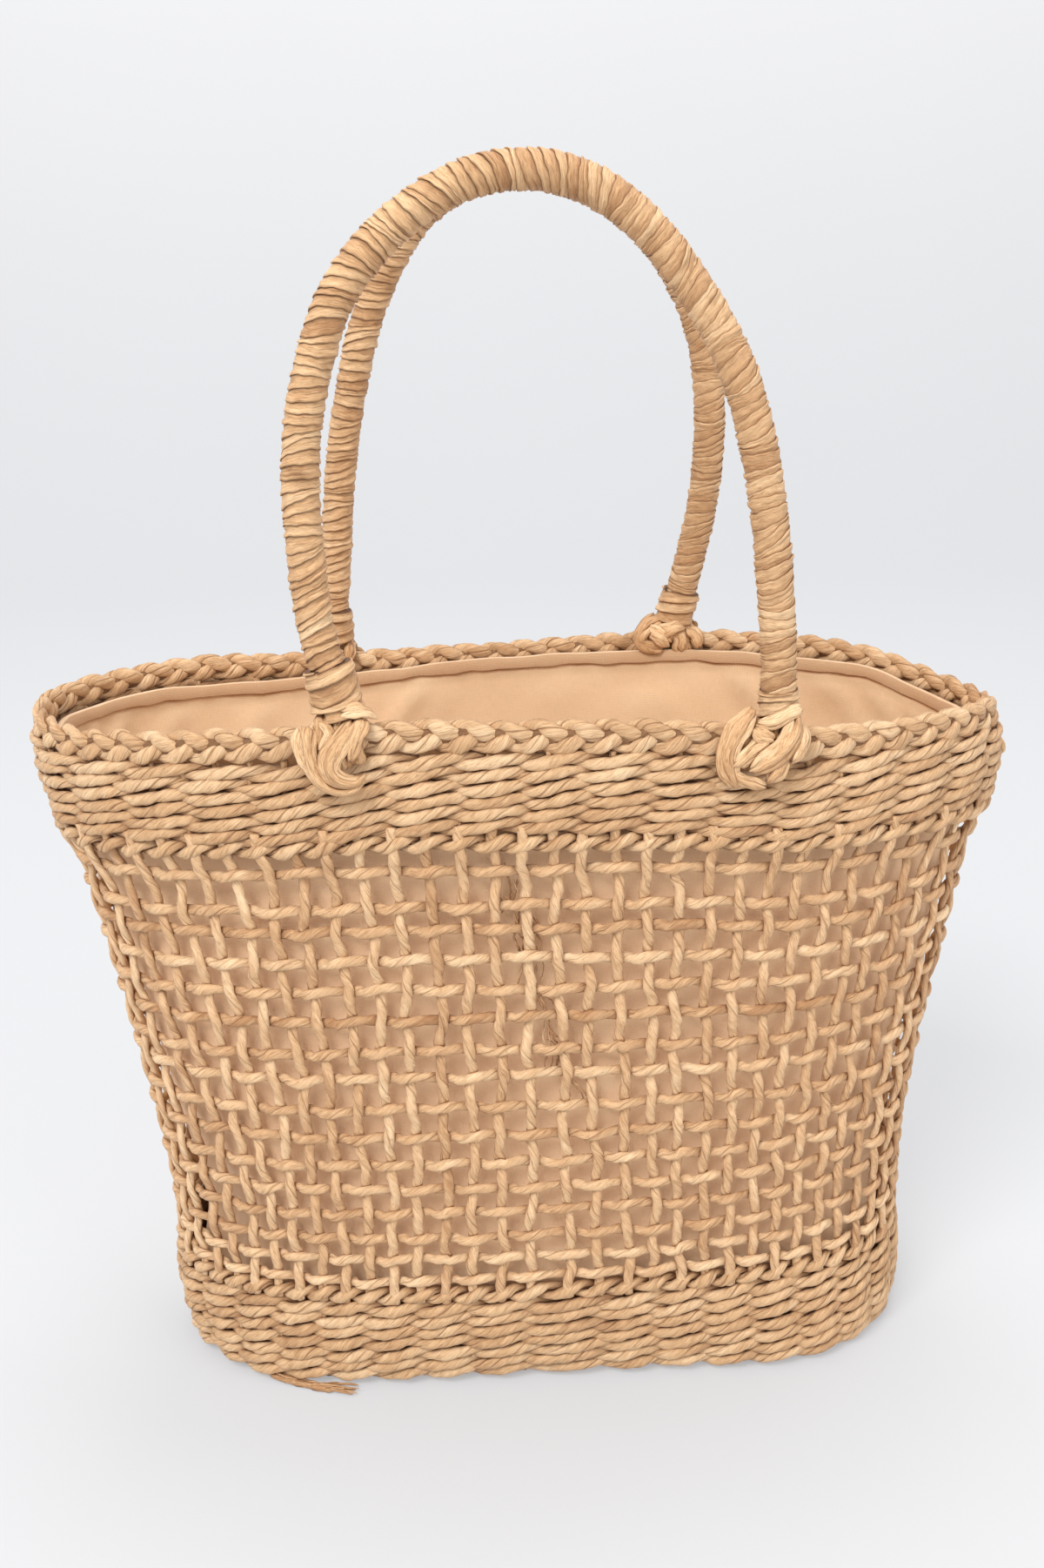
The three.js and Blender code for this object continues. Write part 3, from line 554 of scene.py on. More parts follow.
def lattice():
    rng = np.random.default_rng(11)
    stakes = Piece(13.0)
    # uprights
    K = 104
    z = np.linspace(50.0, 279.0, K)[None, :].repeat(STAKES, 0)
    i = np.arange(STAKES)[:, None]
    sway = 0.10 * line_noise(z, 95, 5) + 0.05 * line_noise(z, 31, 6)
    lean = rng.normal(0, 0.05, (STAKES, 1)) * np.sin((z - 55) / 220 * math.pi)
    s = i + PHASE + (sway + lean) * np.clip((z - 50) / 16, 0, 1) * np.clip((279 - z) / 16, 0, 1)
    heights = np.concatenate([[40], ROWS[::-1], [285]])
    deep = np.zeros((STAKES, K))
    for k in range(STAKES):
        side = np.array([(1 if (r + k) % 2 == 0 else -1) for r in range(len(ROWS))])[::-1]
        push = np.concatenate([[0], -0.95 * side, [0]])
        deep[k] = table(heights, push)(z[k])
    P, N = wall(z, turn(s), MID_WALL - deep)
    # uprights: painted shade on their flanks
    stakes.strands(P, N, 1.55, 2.4, 9, 25.0, 21, lobes=3, notch=0.12, rough=0.08, flank_shade=0.22)

    weavers = Piece(14.5)
    K = 462
    s = np.arange(K) / K * STAKES
    rows = len(ROWS)
    zz = ROWS[:, None] + 0.75 * ring_noise(s, (2, 5, 9, 14), 31, rows) + 0.35 * ring_noise(s, (23, 29), 32, rows)
    even = np.arange(rows)[:, None] % 2
    angle = math.pi * (s[None] - PHASE - even)
    swing = np.cos(angle)
    deep = 1.3 * power(swing, 0.5)
    zz = zz + 0.6 * np.sin(angle) * np.where(swing > 0, 1, 0.2) - 0.35 * (1 - swing)
    zz = zz + 0.5 * rng.normal(0, 1, (rows, STAKES // 2))[:, (np.floor((s - PHASE) / 2).astype(int)) % (STAKES // 2)] * np.clip(swing, 0, 1)
    P, N = wall(zz, turn(s)[None], MID_WALL - deep)
    full = 1.0 + 0.05 * np.clip(swing, 0, 1)
    # weavers: painted shade on their flanks, and where they pass behind an upright
    weavers.strands(P, N, 1.45 * full, 2.45 * full, 9, 21.0, 41, closed=True, lobes=3, notch=0.12, rough=0.09,
                    flank_shade=0.22, behind_shade=0.25 * np.clip(-0.3 - swing, 0, 1))
    return stakes, weavers


def twined(piece, row_z, K, over, amp, rise, wide, high, inset, seed, sides=9, jig=0.35, low_wave=None,
           tone=0.0, shift=0.0, notch=0.13):
    """Pairs of strands twining round the uprights; over is how many uprights
    each passes in front of before it goes behind."""
    rows = len(row_z)
    s = np.arange(K) / K * STAKES
    rng = np.random.default_rng(seed + 3)
    slip = rng.uniform(-0.10, 0.10, (rows, 1)) * over + 0.07 * over * ring_noise(s, (1, 2, 4), seed + 2, rows)
    level = np.asarray(row_z)[:, None] + jig * ring_noise(s, (3, 7, 13, 19), seed, rows)
    for pair in range(2):
        start = PHASE + shift + over * pair
        angle = math.pi * (s[None] - start + slip) / over
        swing = np.cos(angle)
        bend = 1 + 0.22 * ring_noise(s, (11, 17, 29), seed + 20 + pair, rows)
        zz = level + rise * bend * np.sin(angle)
        if low_wave is not None:
            zz = zz + low_wave(s)[None]
        flat = power(swing, 0.75)
        P, N = wall(zz, turn(s)[None], inset - amp * flat + 0.22 * ring_noise(s, (9, 21, 33), seed + 40 + pair, rows))
        front = np.clip(swing, 0, 1)
        swell = 0.84 + 0.26 * front
        # painted shade on the flanks, deeper where the strand goes behind an upright
        piece.strands(P, N, wide * (0.9 + 0.2 * front), high * swell, sides, 24.0, seed + 7 * pair + 1, closed=True,
                      lobes=3, notch=notch, rough=0.10, tone=tone, flank_shade=0.45,
                      behind_shade=0.55 * np.clip(0.25 - swing, 0, 1))


def front_dip(s):
    """The rows sink a little under the front feet of the handles."""
    a = table_angle(turn(s))
    dip = np.zeros_like(a)
    for at, deep, broad in ((243.0, 2.6, 11.0), (297.0, 2.4, 11.0)):
        d = (a - at + 540) % 360 - 180
        dip -= deep * np.exp(-(d / broad) ** 2)
    return dip


def bands():
    top = Piece(13.5)
    twined(top, [271.6], 470, 1, 1.9, 2.1, 1.85, 2.55, 3.6, 51, jig=0.3)
    twined(top, [279.0 + 5.35 * k for k in range(6)], 440, 2, 2.0, 1.6, 1.75, 2.6, 3.6, 61, jig=0.45,
           low_wave=front_dip)
    bottom = Piece(13.5)
    twined(bottom, [53.4], 420, 1, 1.9, 2.2, 1.85, 2.65, 3.6, 71, jig=0.5)
    twined(bottom, [45.8, 39.4, 32.8, 26.2, 19.6, 13.2], 400, 2, 2.0, 1.75, 1.8, 3.0, 3.7, 81, jig=0.6)
    twined(bottom, [6.9], 400, 2, 1.9, 1.6, 1.9, 2.8, 3.9, 91, jig=0.3)
    twined(bottom, [3.1], 400, 2, 1.7, 0.35, 1.7, 2.3, 6.4, 95, jig=0.1)
    # uprights inside the bands, seen through their gaps
    i = np.arange(STAKES)[:, None]
    for piece, z0, z1 in ((top, 266.0, 309.0), (bottom, 6.0, 60.0)):
        K = 15
        z = np.linspace(z0, z1, K)[None].repeat(STAKES, 0)
        P, N = wall(z, turn(i + PHASE + 0.0 * z), 4.2)
        piece.strands(P, N, 1.2, 1.7, 6, 25.0, 101 if piece is top else 102, rough=0.05)
    return top, bottom


def plait():
    piece = Piece(16.0)
    K = 640
    s = np.arange(K) / K * STAKES
    t = turn(s)
    x, y, nx, ny = oval(201.8, 80.8, 2.25, 0.0, t, -bulge(t, 316.0))
    far = np.concatenate([[0], np.cumsum(np.hypot(np.diff(x), np.diff(y)))])
    far = far / (far[-1] + math.hypot(x[0] - x[-1], y[0] - y[-1]))
    N = np.stack([nx, ny, np.zeros_like(nx)], -1)
    lift = rim_lift(t)
    behind = np.clip(ny, 0, 1) ** 0.7 * (1 + 0.7 * np.exp(-((table_angle(t) - 140) / 26) ** 2))
    periods = 23
    for k in range(3):
        th = TAU * (periods * far + k / 3)
        wob = 0.30 * ring_noise(s, (5, 11, 23), 110 + k)[0]
        up = (4.5 - 0.55 * behind) * np.arcsin(0.985 * np.sin(th)) / math.asin(0.985) + wob - 1.0 * behind
        out = -1.45 * np.sin(2 * th) + 0.20 * ring_noise(s, (9, 17, 31), 120 + k)[0]
        # the flat of the plait leans outwards a little at its foot
        P = np.stack([x + nx * (out - 0.12 * up), y + ny * (out - 0.12 * up), PLAIT_Z - 0.9 + lift + up], -1)
        front = np.abs(np.sin(2 * th))
        fat = 0.82 + 0.24 * front
        # painted shade on the flanks of the plait's strands
        piece.strands(P[None], N[None], (1.75 * fat)[None], (3.25 * fat)[None], 12, 25.0, 131 + k, closed=True,
                      lobes=4, notch=0.12, rough=0.09, flank_shade=0.35)
    # core of the plait, which closes its gaps; painted deep in shade
    P = np.stack([x, y, PLAIT_Z - 0.9 + lift - 1.0 * behind], -1)[::2]
    piece.strands(P[None], N[None, ::2], 1.5, 3.4, 9, 30.0, 139, closed=True, rough=0.05, behind_shade=np.full((1, 1), 0.8))
    return piece


def wisps(piece, lines, seed):
    """Thin loose fibres: half thickness, then places."""
    r = np.random.default_rng(seed)
    for k, (thick, tone, places) in enumerate(lines):
        P, L = smooth_line(np.asarray(places, float), max(7, int(6 * len(places))))
        P[1:-1] += r.normal(0, 0.10, P[1:-1].shape)
        out = np.broadcast_to(np.array([0.31, -0.90, 0.31]), P.shape)
        piece.strands(P[None], out[None], thick, thick * 1.35, 6, 22.0, seed + 5 * k, lobes=3, notch=0.12, rough=0.1,
                      tone=tone, taper=1.6, lines=0.3)


def behind_lattice(piece):
    """Frayed straw between the lattice and the lining, right of the middle."""
    r = np.random.default_rng(88)
    lines = []
    for k in range(30):
        f = k / 29
        z = 262 - 96 * f + r.normal(0, 3)
        s = 52.75 + 1.55 * f + r.normal(0, 0.28)
        down, over = r.uniform(9, 24), r.uniform(-0.15, 0.75)
        row = []
        for q in np.linspace(0, 1, 5):
            P, _ = wall(z - down * q, turn(s + over * q + 0.12 * math.sin(5 * q + k)), 5.6 + 1.0 * math.sin(3 * q + k))
            row.append(tuple(P))
        lines.append((r.uniform(0.16, 0.42), r.uniform(-2.4, 0.4), row))
    wisps(piece, lines, 801)


def loose_ends(piece):
    """A frayed straw that lies on the floor by the left of the front."""
    r = np.random.default_rng(41)
    base = [(-132.0, -45.5, 6.5), (-125.0, -52.0, 3.0), (-116.0, -56.5, 1.9), (-106.0, -60.2, 1.7), (-97.0, -63.5, 1.6)]
    lines = [(1.15, -1.0, base)]
    for k in range(12):
        lines.append((r.uniform(0.22, 0.5), r.uniform(-2.0, -0.4),
                      [(x + r.normal(0, 0.8) + 3 * q, y + r.normal(0, 1.0) - 0.3 * k * q / 4, max(0.8, z + abs(r.normal(0, 0.7))))
                       for q, (x, y, z) in enumerate(base[k % 3:])]))
    wisps(piece, lines, 841)


# ------------------------------------------------------------------ the lining
def fold_depth(angle, z):
    deep = np.zeros(np.broadcast(angle, z).shape)
    for at, high, d, broad, tall in FOLDS:
        turned = (angle - at + 540) % 360 - 180
        deep = deep + d * np.exp(-(turned / broad) ** 2 - ((z - high) / tall) ** 2)
    return deep


LINING_ROWS = np.array([(13, 10.0, 0.5), (28, 9.2, 1), (70, 8.9, 1), (112, 8.0, 1), (175, 7.8, 1),
                        (248, 8.2, 1), (272, 9.6, 0.6), (298.0, 10.2, 0), (309.0, 10.7, 0)])
# how far the hem stands above or below its mean height, round the mouth
HEM_LIFT = np.array([(0, 1.5), (20, 2.0), (37, 2.6), (52, 1.4), (63, 3.0), (77, 4.0), (93, 5.2), (107, 2.4),
                     (117, 1.0), (131, -2.0), (146, -0.4), (160, -0.6), (180, -0.4), (230, -1.0), (270, -0.6),
                     (310, -1.2), (360, 1.5)])


def lining():
    """A cloth bag of two close faces: floor, slack sides, turned hem."""
    U = 216
    s = np.arange(U) / U * STAKES
    t = turn(s)
    angle = table_angle(t)
    inset_at = table(LINING_ROWS[:, 0], LINING_ROWS[:, 1])
    share_at = table(LINING_ROWS[:, 0], LINING_ROWS[:, 2])
    zs = np.concatenate([np.linspace(13, 290, 56), [294, 297.5, 300.2, 301.8, 302.7, 303.2, 303.45, 303.9, 305.2,
                                                    306.8, 308.0, 308.7, 309.0]])
    rng = np.random.default_rng(5)

    def crumple(z):
        """Soft wrinkles: mostly upright at the sides, slanting near the mouth."""
        out = np.zeros((len(z), U))
        for _ in range(34):
            k = rng.integers(5, 34)
            q = rng.uniform(-1, 1) * 0.05
            p = rng.uniform(0, TAU)
            c, w = rng.uniform(40, 300), rng.uniform(30, 90)
            out += 0.36 * np.sin(TAU * k * s[None] / STAKES + q * z[:, None] + p) * np.exp(
                -((z[:, None] - c) / w) ** 2) * (14 / (k + 8))
        return out

    wrinkle = crumple(zs)
    calm = np.clip((301 - zs) / 40, 0.10, 1)[:, None] * np.clip((zs - 8) / 20, 0, 1)[:, None]
    inset = inset_at(zs)[:, None] + share_at(zs)[:, None] * fold_depth(angle[None], zs[:, None])
    inset = inset + np.clip(0.9 + 1.5 * wrinkle, 0.0, 5) * calm
    # creases and soft folds that run down from the hem, seen inside the mouth
    gather = np.zeros((len(zs), U))
    for at, slope, deep, broad, top in ((101.5, 0.20, 3.2, 1.5, 303), (98.5, 0.10, 1.6, 2.6, 300), (71, 0.0, 3.4, 4.6, 292),
                                        (60.5, -0.22, 3.4, 1.9, 302), (64.5, -0.10, 1.5, 2.4, 300), (84, 0.04, 1.6, 4.0, 298),
                                        (47, -0.36, 3.0, 3.0, 303), (38.5, -0.46, 3.4, 3.2, 303), (29, -0.50, 3.2, 3.4, 304), (112, 0.10, 1.8, 2.8, 300), (124, 0.10, 2.2, 2.4, 300),
                                        (138, 0.16, 2.4, 2.4, 300), (150, 0.30, 3.0, 2.2, 303), (159, 0.30, 3.2, 2.0, 303),
                                        (168, 0.20, 2.4, 2.2, 303)):
        place = at + slope * (303 - zs[:, None])
        turned = (angle[None] - place + 540) % 360 - 180
        gather += deep * np.exp(-(turned / broad) ** 2) * np.clip((top - zs[:, None]) / 9, 0, 1) * np.clip(
            (zs[:, None] - 200) / 60, 0, 1)
    inset = inset + gather
    hem = np.clip((zs - 303.2) / 0.25, 0, 1)[:, None]
    lift = table(HEM_LIFT[:, 0], HEM_LIFT[:, 1])(angle)
    ripple = 0.42 * ring_noise(s, (13, 21, 34), 9)[0] + 0.30 * ring_noise(s, (47, 59, 73), 10)[0]
    high = zs[:, None] + (lift * np.clip((zs - 262) / 38, 0, 1)[:, None]
                          + ripple * np.exp(-((zs - 303.2) / 3.2) ** 2)[:, None]
                          + 0.35 * ring_noise(s, (19, 31), 12)[0] * np.clip((zs - 306) / 3, 0, 1)[:, None])
    bulk = np.clip((303.2 - zs) / 0.4, 0, 1)[:, None]
    top_in = 0.35 * ring_noise(s, (11, 23, 41), 14)[0][None] * np.clip((zs - 296) / 6, 0, 1)[:, None]
    outer, N = wall(high, t[None], inset + top_in)
    puff = 0.5 + 0.5 * np.sin(np.clip((zs - 303.2) / 5.8, 0, 1) * math.pi)[:, None]
    thick = 1.2 + hem * (0.75 + 0.75 * puff + 0.30 * ring_noise(s, (37, 53, 71), 8)[0][None])
    inner, _ = wall(high, t[None], inset + top_in + thick)
    _ = bulk

    def floor(z, inset_mm):
        a, b, n, cx = (float(f(12.0)) for f in SECTION)
        x, y, _, _ = oval(a, b, n, cx, t, inset_mm - bulge(t, 12.0))
        return np.stack([x, y, np.full_like(x, z)], -1)

    def soft(ring, seed, size):
        r = np.random.default_rng(seed)
        x, y = ring[:, 0], ring[:, 1]
        ring = ring.copy()
        for _ in range(5):
            fx, fy, p = r.uniform(-0.05, 0.05), r.uniform(-0.07, 0.07), r.uniform(0, TAU)
            ring[:, 2] += size * (1 + np.sin(fx * x + fy * y + p)) / 2
        return ring

    insets = [15.5, 20, 26, 33, 41, 50, 58, 63]
    low = [floor(7.4, k) for k in insets]
    high = [soft(floor(8.7, k), 77, 0.35) for k in insets]
    rings = low[::-1] + list(outer) + list(inner[::-1]) + high
    grid = np.array(rings)
    R = len(grid)
    verts = np.concatenate([grid.reshape(-1, 3), [[6, 0, 7.4]], [[6, 0, 9.2]]])
    idx = np.arange(R * U).reshape(R, U)
    nxt = np.roll(idx, -1, axis=1)
    quads = np.stack([idx[:-1], nxt[:-1], nxt[1:], idx[1:]], -1).reshape(-1, 4)
    first, last = R * U, R * U + 1
    tris = np.concatenate([
        np.stack([np.full(U, first), nxt[0], idx[0]], -1),
        np.stack([np.full(U, last), idx[-1], nxt[-1]], -1)])
    down = np.concatenate([[0], np.cumsum(np.linalg.norm(np.diff(grid, axis=0), axis=-1).mean(1))])
    around = np.linspace(0, 905, U + 1)
    u0 = np.broadcast_to(around[:-1], (R - 1, U))
    u1 = np.broadcast_to(around[1:], (R - 1, U))
    d0 = np.broadcast_to(down[:-1, None], (R - 1, U))
    d1 = np.broadcast_to(down[1:, None], (R - 1, U))
    uv = np.stack([np.stack([u0, u1, u1, u0], -1), np.stack([d0, d0, d1, d1], -1)], -1).reshape(-1, 4, 2)
    tri_uv = []
    for d in (0.0, down[-1]):
        tri_uv.append(np.stack([np.stack([around[:-1] + 2, around[1:], around[:-1]], -1),
                                np.full((U, 3), d) + np.array([-6.0 if d == 0 else 6.0, 0, 0])], -1))
    both = np.concatenate([uv.reshape(-1, 2), np.concatenate(tri_uv).reshape(-1, 2)])
    bake = (both + np.array([4.0, 8.0])) / np.array([915.0, down[-1] + 18.0])
    shade = np.zeros((len(verts), 4))
    shade[:, 3] = 1
    # painted shadow under the hem's lower edge, with a weaker band of painted shade below it, its strength varying
    # round the mouth
    hem_shadow = (np.exp(-((zs - 303.0) / 0.55) ** 2) + 0.22 * np.exp(-((zs - 300.9) / 1.6) ** 2))[::-1]
    uneven_shade = 0.72 + 0.28 * ring_noise(s, (17, 29, 43, 61), 15)[0]
    at = len(low) + len(outer)
    # the inner face is painted in shade, deeper on the hem, and the hem shadow is added to it
    for k, value in enumerate(hem_shadow):
        base = 0.17 + 0.38 * float(np.clip((zs[::-1][k] - 303.0) / 0.4, 0, 1))
        shade[(at + k) * U:(at + k + 1) * U, 2] = base + (1 - base) * np.clip(value * uneven_shade, 0, 1)
    # painted shade in the gathered folds inside the mouth
    creased = np.clip(gather[::-1] / 5.5, 0, 1)
    for k in range(len(zs)):
        shade[(at + k) * U:(at + k + 1) * U, 2] += 0.30 * creased[k] ** 1.5
    # painted shade on the floor's inner face
    shade[(at + len(zs)) * U:, 2] = 0.26
    piece = build("bag_lining", verts * 0.001, quads, tris, both * 0.1, bake, shade, COTTON, ["lining"])
    return piece


# ------------------------------------------------------------------ the handles
def seated(rows):
    out = []
    for k, (x, y, z) in enumerate(rows):
        if k in (0, len(rows) - 1):
            angle = math.degrees(math.atan2(y / 84.0, x / 208.0)) % 360
            z = PLAIT_Z + FOOT_RISE + float(LIFT(angle))
        out.append((x, y, z))
    return np.array(out, float)


def smooth_line(points, count):
    """Centripetal curve through the points, at even spacing."""
    p = np.vstack([2 * points[0] - points[1], points, 2 * points[-1] - points[-2]])
    out = []
    for k in range(1, len(p) - 2):
        p0, p1, p2, p3 = p[k - 1], p[k], p[k + 1], p[k + 2]
        t0 = 0.0
        t1 = t0 + np.linalg.norm(p1 - p0) ** 0.5
        t2 = t1 + np.linalg.norm(p2 - p1) ** 0.5
        t3 = t2 + np.linalg.norm(p3 - p2) ** 0.5
        for u in np.linspace(t1, t2, 24, endpoint=False):
            a1 = (t1 - u) / (t1 - t0) * p0 + (u - t0) / (t1 - t0) * p1
            a2 = (t2 - u) / (t2 - t1) * p1 + (u - t1) / (t2 - t1) * p2
            a3 = (t3 - u) / (t3 - t2) * p2 + (u - t2) / (t3 - t2) * p3
            b1 = (t2 - u) / (t2 - t0) * a1 + (u - t0) / (t2 - t0) * a2
            b2 = (t3 - u) / (t3 - t1) * a2 + (u - t1) / (t3 - t1) * a3
            out.append((t2 - u) / (t2 - t1) * b1 + (u - t1) / (t2 - t1) * b2)
    out.append(points[-1])
    out = np.array(out)
    far = np.concatenate([[0], np.cumsum(np.linalg.norm(np.diff(out, axis=0), axis=1))])
    want = np.linspace(0, far[-1], count)
    return np.stack([np.interp(want, far, out[:, k]) for k in range(3)], -1), want


def winding(P, L, seed, radius, pitch, start, stop, tilt=1.0, rise=0.8, around=40, piece=None, tone=0.0,
            jolts=1.0, limit=99.0, lean=1.2):
    """A straw strip wound round the centre line P (at lengths L) from start to
    stop. Each turn laps the one before it; its free edge stands up."""
    r = np.random.default_rng(seed)
    turns = int(round((stop - start) / pitch))
    pitch = (stop - start) / turns
    N = around
    K = turns * N + 1
    turn_no = np.arange(K) / N
    ang = TAU * turn_no + r.uniform(0, TAU)
    # place of the free edge: even advance, uneven lay
    own = r.normal(0, 1, (4, turns + 2))

    def per_turn(row, power_of=1.0):
        k = np.minimum(turn_no.astype(int), turns - 1)
        f = turn_no - k
        f = f * f * (3 - 2 * f)
        return own[row][k] * (1 - f) + own[row][k + 1] * f
    ends = np.clip(np.minimum(turn_no, turns - turn_no) / 2, 0, 1)
    lean = lean * (1 + 0.5 * np.sin(TAU * turn_no / 23 + r.uniform(0, TAU)))
    lay = (tilt * (0.75 * np.sin(TAU * turn_no / 17 + r.uniform(0, TAU)) + 0.8 * np.sin(TAU * turn_no / 6.3 + r.uniform(0, TAU))
                   + 0.35 * per_turn(0)) * np.cos(ang)
           + tilt * (0.75 * np.sin(TAU * turn_no / 13 + r.uniform(0, TAU)) + 0.8 * np.sin(TAU * turn_no / 5.1 + r.uniform(0, TAU))
                     + 0.35 * per_turn(1)) * np.sin(ang) + lean * np.sin(ang) + 0.5 * per_turn(2))
    small = 0.16 * np.sin(TAU * turn_no * 5.3 + 1) + 0.12 * np.sin(TAU * turn_no * 9.7 + 2)
    edge = start + pitch * turn_no + (lay + small) * ends
    # no turn may pass the one before it
    for k in range(N, K):
        if edge[k] < edge[k - N] + 1.3:
            edge[k] = edge[k - N] + 1.3
    edge = np.minimum(edge, stop + 0.0 * edge)
    after = np.concatenate([edge[N:], np.minimum(edge[K - N:] + pitch, stop)])[:K]
    Q = np.array([0.0, 0.02, 0.10, 0.24, 0.38, 0.50, 0.62, 0.78, 1.0])
    high = radius + 0.30 * per_turn(3)[:, None] * 0.6
    low = radius - rise
    gap = (after - edge)[:, None]
    at = edge[:, None] + gap * Q[None]
    at[:, 1] -= 0.35
    fall = np.clip(Q, 0, 1) ** 1.25
    rad = high - (high - low) * fall[None]
    rad[:, 0] = low
    rad[:, 1] = high[:, 0] - 0.12
    # pleats that run along the strip, coming and going
    for _ in range(3):
        c = 0.42 + 0.26 * np.sin(TAU * turn_no / r.uniform(1.7, 5.0) + r.uniform(0, TAU))
        d = r.uniform(0.22, 0.42) * (0.5 + 0.5 * np.sin(TAU * turn_no * r.uniform(0.6, 1.9) + r.uniform(0, TAU)))
        rad -= d[:, None] * np.exp(-((Q[None] - c[:, None]) / 0.10) ** 2)
    rad += 0.16 * np.sin(TAU * turn_no * 3.3 + 1.0)[:, None] * np.sin(9 * Q)[None] * (Q > 0)
    dents = np.zeros(rad.shape)
    for _ in range(int(turns * 1.1 * jolts)):
        c, wc = r.uniform(start, stop), r.uniform(0, TAU)
        lw, ww, slope = r.uniform(0.8, 1.8), r.uniform(0.3, 0.75), r.uniform(-5, 5)
        dw = (ang[:, None] - wc + math.pi) % TAU - math.pi
        dents += r.uniform(-0.55, 0.35) * np.exp(-((at - c - slope * dw) / lw) ** 2 - (dw / ww) ** 2)
    rad = np.minimum(rad + dents, limit)
    T = unit(np.gradient(P, axis=0))
    side = np.array([0.0, -1.0, 0.0])
    O = unit(side - (T @ side)[:, None] * T)
    B = np.cross(T, O)

    def look(A, at):
        return np.stack([np.interp(at, L, A[:, k]) for k in range(3)], -1)
    V = look(P, at) + rad[..., None] * (look(O, at) * np.cos(ang)[:, None, None] + look(B, at) * np.sin(ang)[:, None, None])
    # beyond the ends of the line, carry straight on
    for end, sign in ((0, -1), (-1, 1)):
        over = np.clip((at - L[end]) * sign, 0, None)
        V += sign * over[..., None] * T[end]
    C = len(Q)
    piece = piece or Piece(2 * pitch)
    base = piece.count
    number = np.arange(K * C).reshape(K, C)
    number[:K - N, C - 1] = number[N:, 0]      # a turn's tucked edge is the next one's root
    used, flat = np.unique(number, return_inverse=True)
    flat = flat.reshape(K, C)
    tint = np.zeros((K, C, 4))
    tint[..., 0] = np.clip(0.48 + 0.14 * (tone + per_turn(0))[:, None] + 0.05 * np.sin(7 * Q + own[1][0])[None], 0, 1)
    # G channel: painted shade as thin lines at each turn's root and tucked edge, and along pleats that come and go
    tint[:, 0, 1] = tint[:, -1, 1] = 1.0
    for col, speed in ((3, 1.7), (4, 2.9), (5, 0.9), (6, 2.1)):
        tint[:, col, 1] = np.clip(0.25 + 0.75 * np.sin(TAU * turn_no / speed + 5.1 * col) * np.sin(TAU * turn_no / (3.7 + col)), 0, 0.9)
    # B channel: painted shade near the lapped edges and in the dents
    dark = np.array([0.75, 0.10, 0.0, 0.0, 0.0, 0.0, 0.0, 0.14, 0.75])
    tint[..., 2] = np.clip(dark[None] - 0.7 * np.clip(dents, -0.4, 0), 0, 1)
    tint[..., 3] = 1
    piece.verts.append(V.reshape(-1, 3)[used])
    piece.tint.append(tint.reshape(-1, 4)[used])
    piece.count += len(used)
    idx = base + flat
    piece.quads.append(np.stack([idx[:-1, :-1], idx[:-1, 1:], idx[1:, 1:], idx[1:, :-1]], -1).reshape(-1, 4))
    run = turn_no * TAU * radius
    u0, u1 = run[:-1, None], run[1:, None]
    big = (K - 1, C - 1)
    v0, v1 = at[:-1, :-1] - edge[:-1, None], at[:-1, 1:] - edge[:-1, None]
    u = np.stack([np.broadcast_to(u0, big), np.broadcast_to(u0, big), np.broadcast_to(u1, big), np.broadcast_to(u1, big)], -1)
    v = np.stack([v0, v1, v1, v0], -1) + np.floor(turn_no[:-1])[:, None, None] * 0.0
    piece.quad_uv.append(np.stack([u, v * 1.6], -1).reshape(-1, 4, 2))
    q = np.broadcast_to(Q[:-1], big), np.broadcast_to(Q[1:], big)
    piece.quad_run.append(np.stack([u + piece.run, np.stack([q[0], q[1], q[1], q[0]], -1)], -1).reshape(-1, 4, 2))
    # close both ends with a fan to the core
    loops = [np.concatenate([idx[0, :C], idx[1:N, 0][::-1]]),
             np.concatenate([idx[K - 1, :C], idx[K - N:K - 1, C - 1][::-1]])[::-1]]
    for loop, place in zip(loops, (start + 0.5 * pitch, stop - 0.2 * pitch)):
        centre = look(P, np.array([place]))[0]
        piece.verts.append(centre[None])
        # the end fans are painted partly in shade
        piece.tint.append(np.array([[0.4, 0.6, 0.5, 1.0]]))
        c = piece.count
        piece.count += 1
        nxt = np.roll(loop, -1)
        piece.tris.append(np.stack([np.full(len(loop), c), nxt, loop], -1))
        flat_uv = np.tile(np.array([[0.0, 0.0], [1.0, 0.5], [1.0, 0.0]]), (len(loop), 1, 1))
        piece.tri_uv.append(flat_uv)
        k = np.arange(len(loop))[:, None, None] * np.array([0.5, 0.0])
        piece.tri_run.append(flat_uv * np.array([1.0, 0.8]) + k + np.array([piece.run + run[-1] + 4, 0.0]))
        piece.run += len(loop) * 0.5 + 6
    piece.run += run[-1] + 6
    return piece


def handle(rows, seed):
    points = seated(rows)
    _, far = smooth_line(points, 8)
    P, L = smooth_line(points, int(far[-1] / 2.0))
    return winding(P, L, seed, 7.35, 4.0, 0.4, L[-1] - 0.4, tilt=1.25, rise=0.72, around=38, limit=8.05)


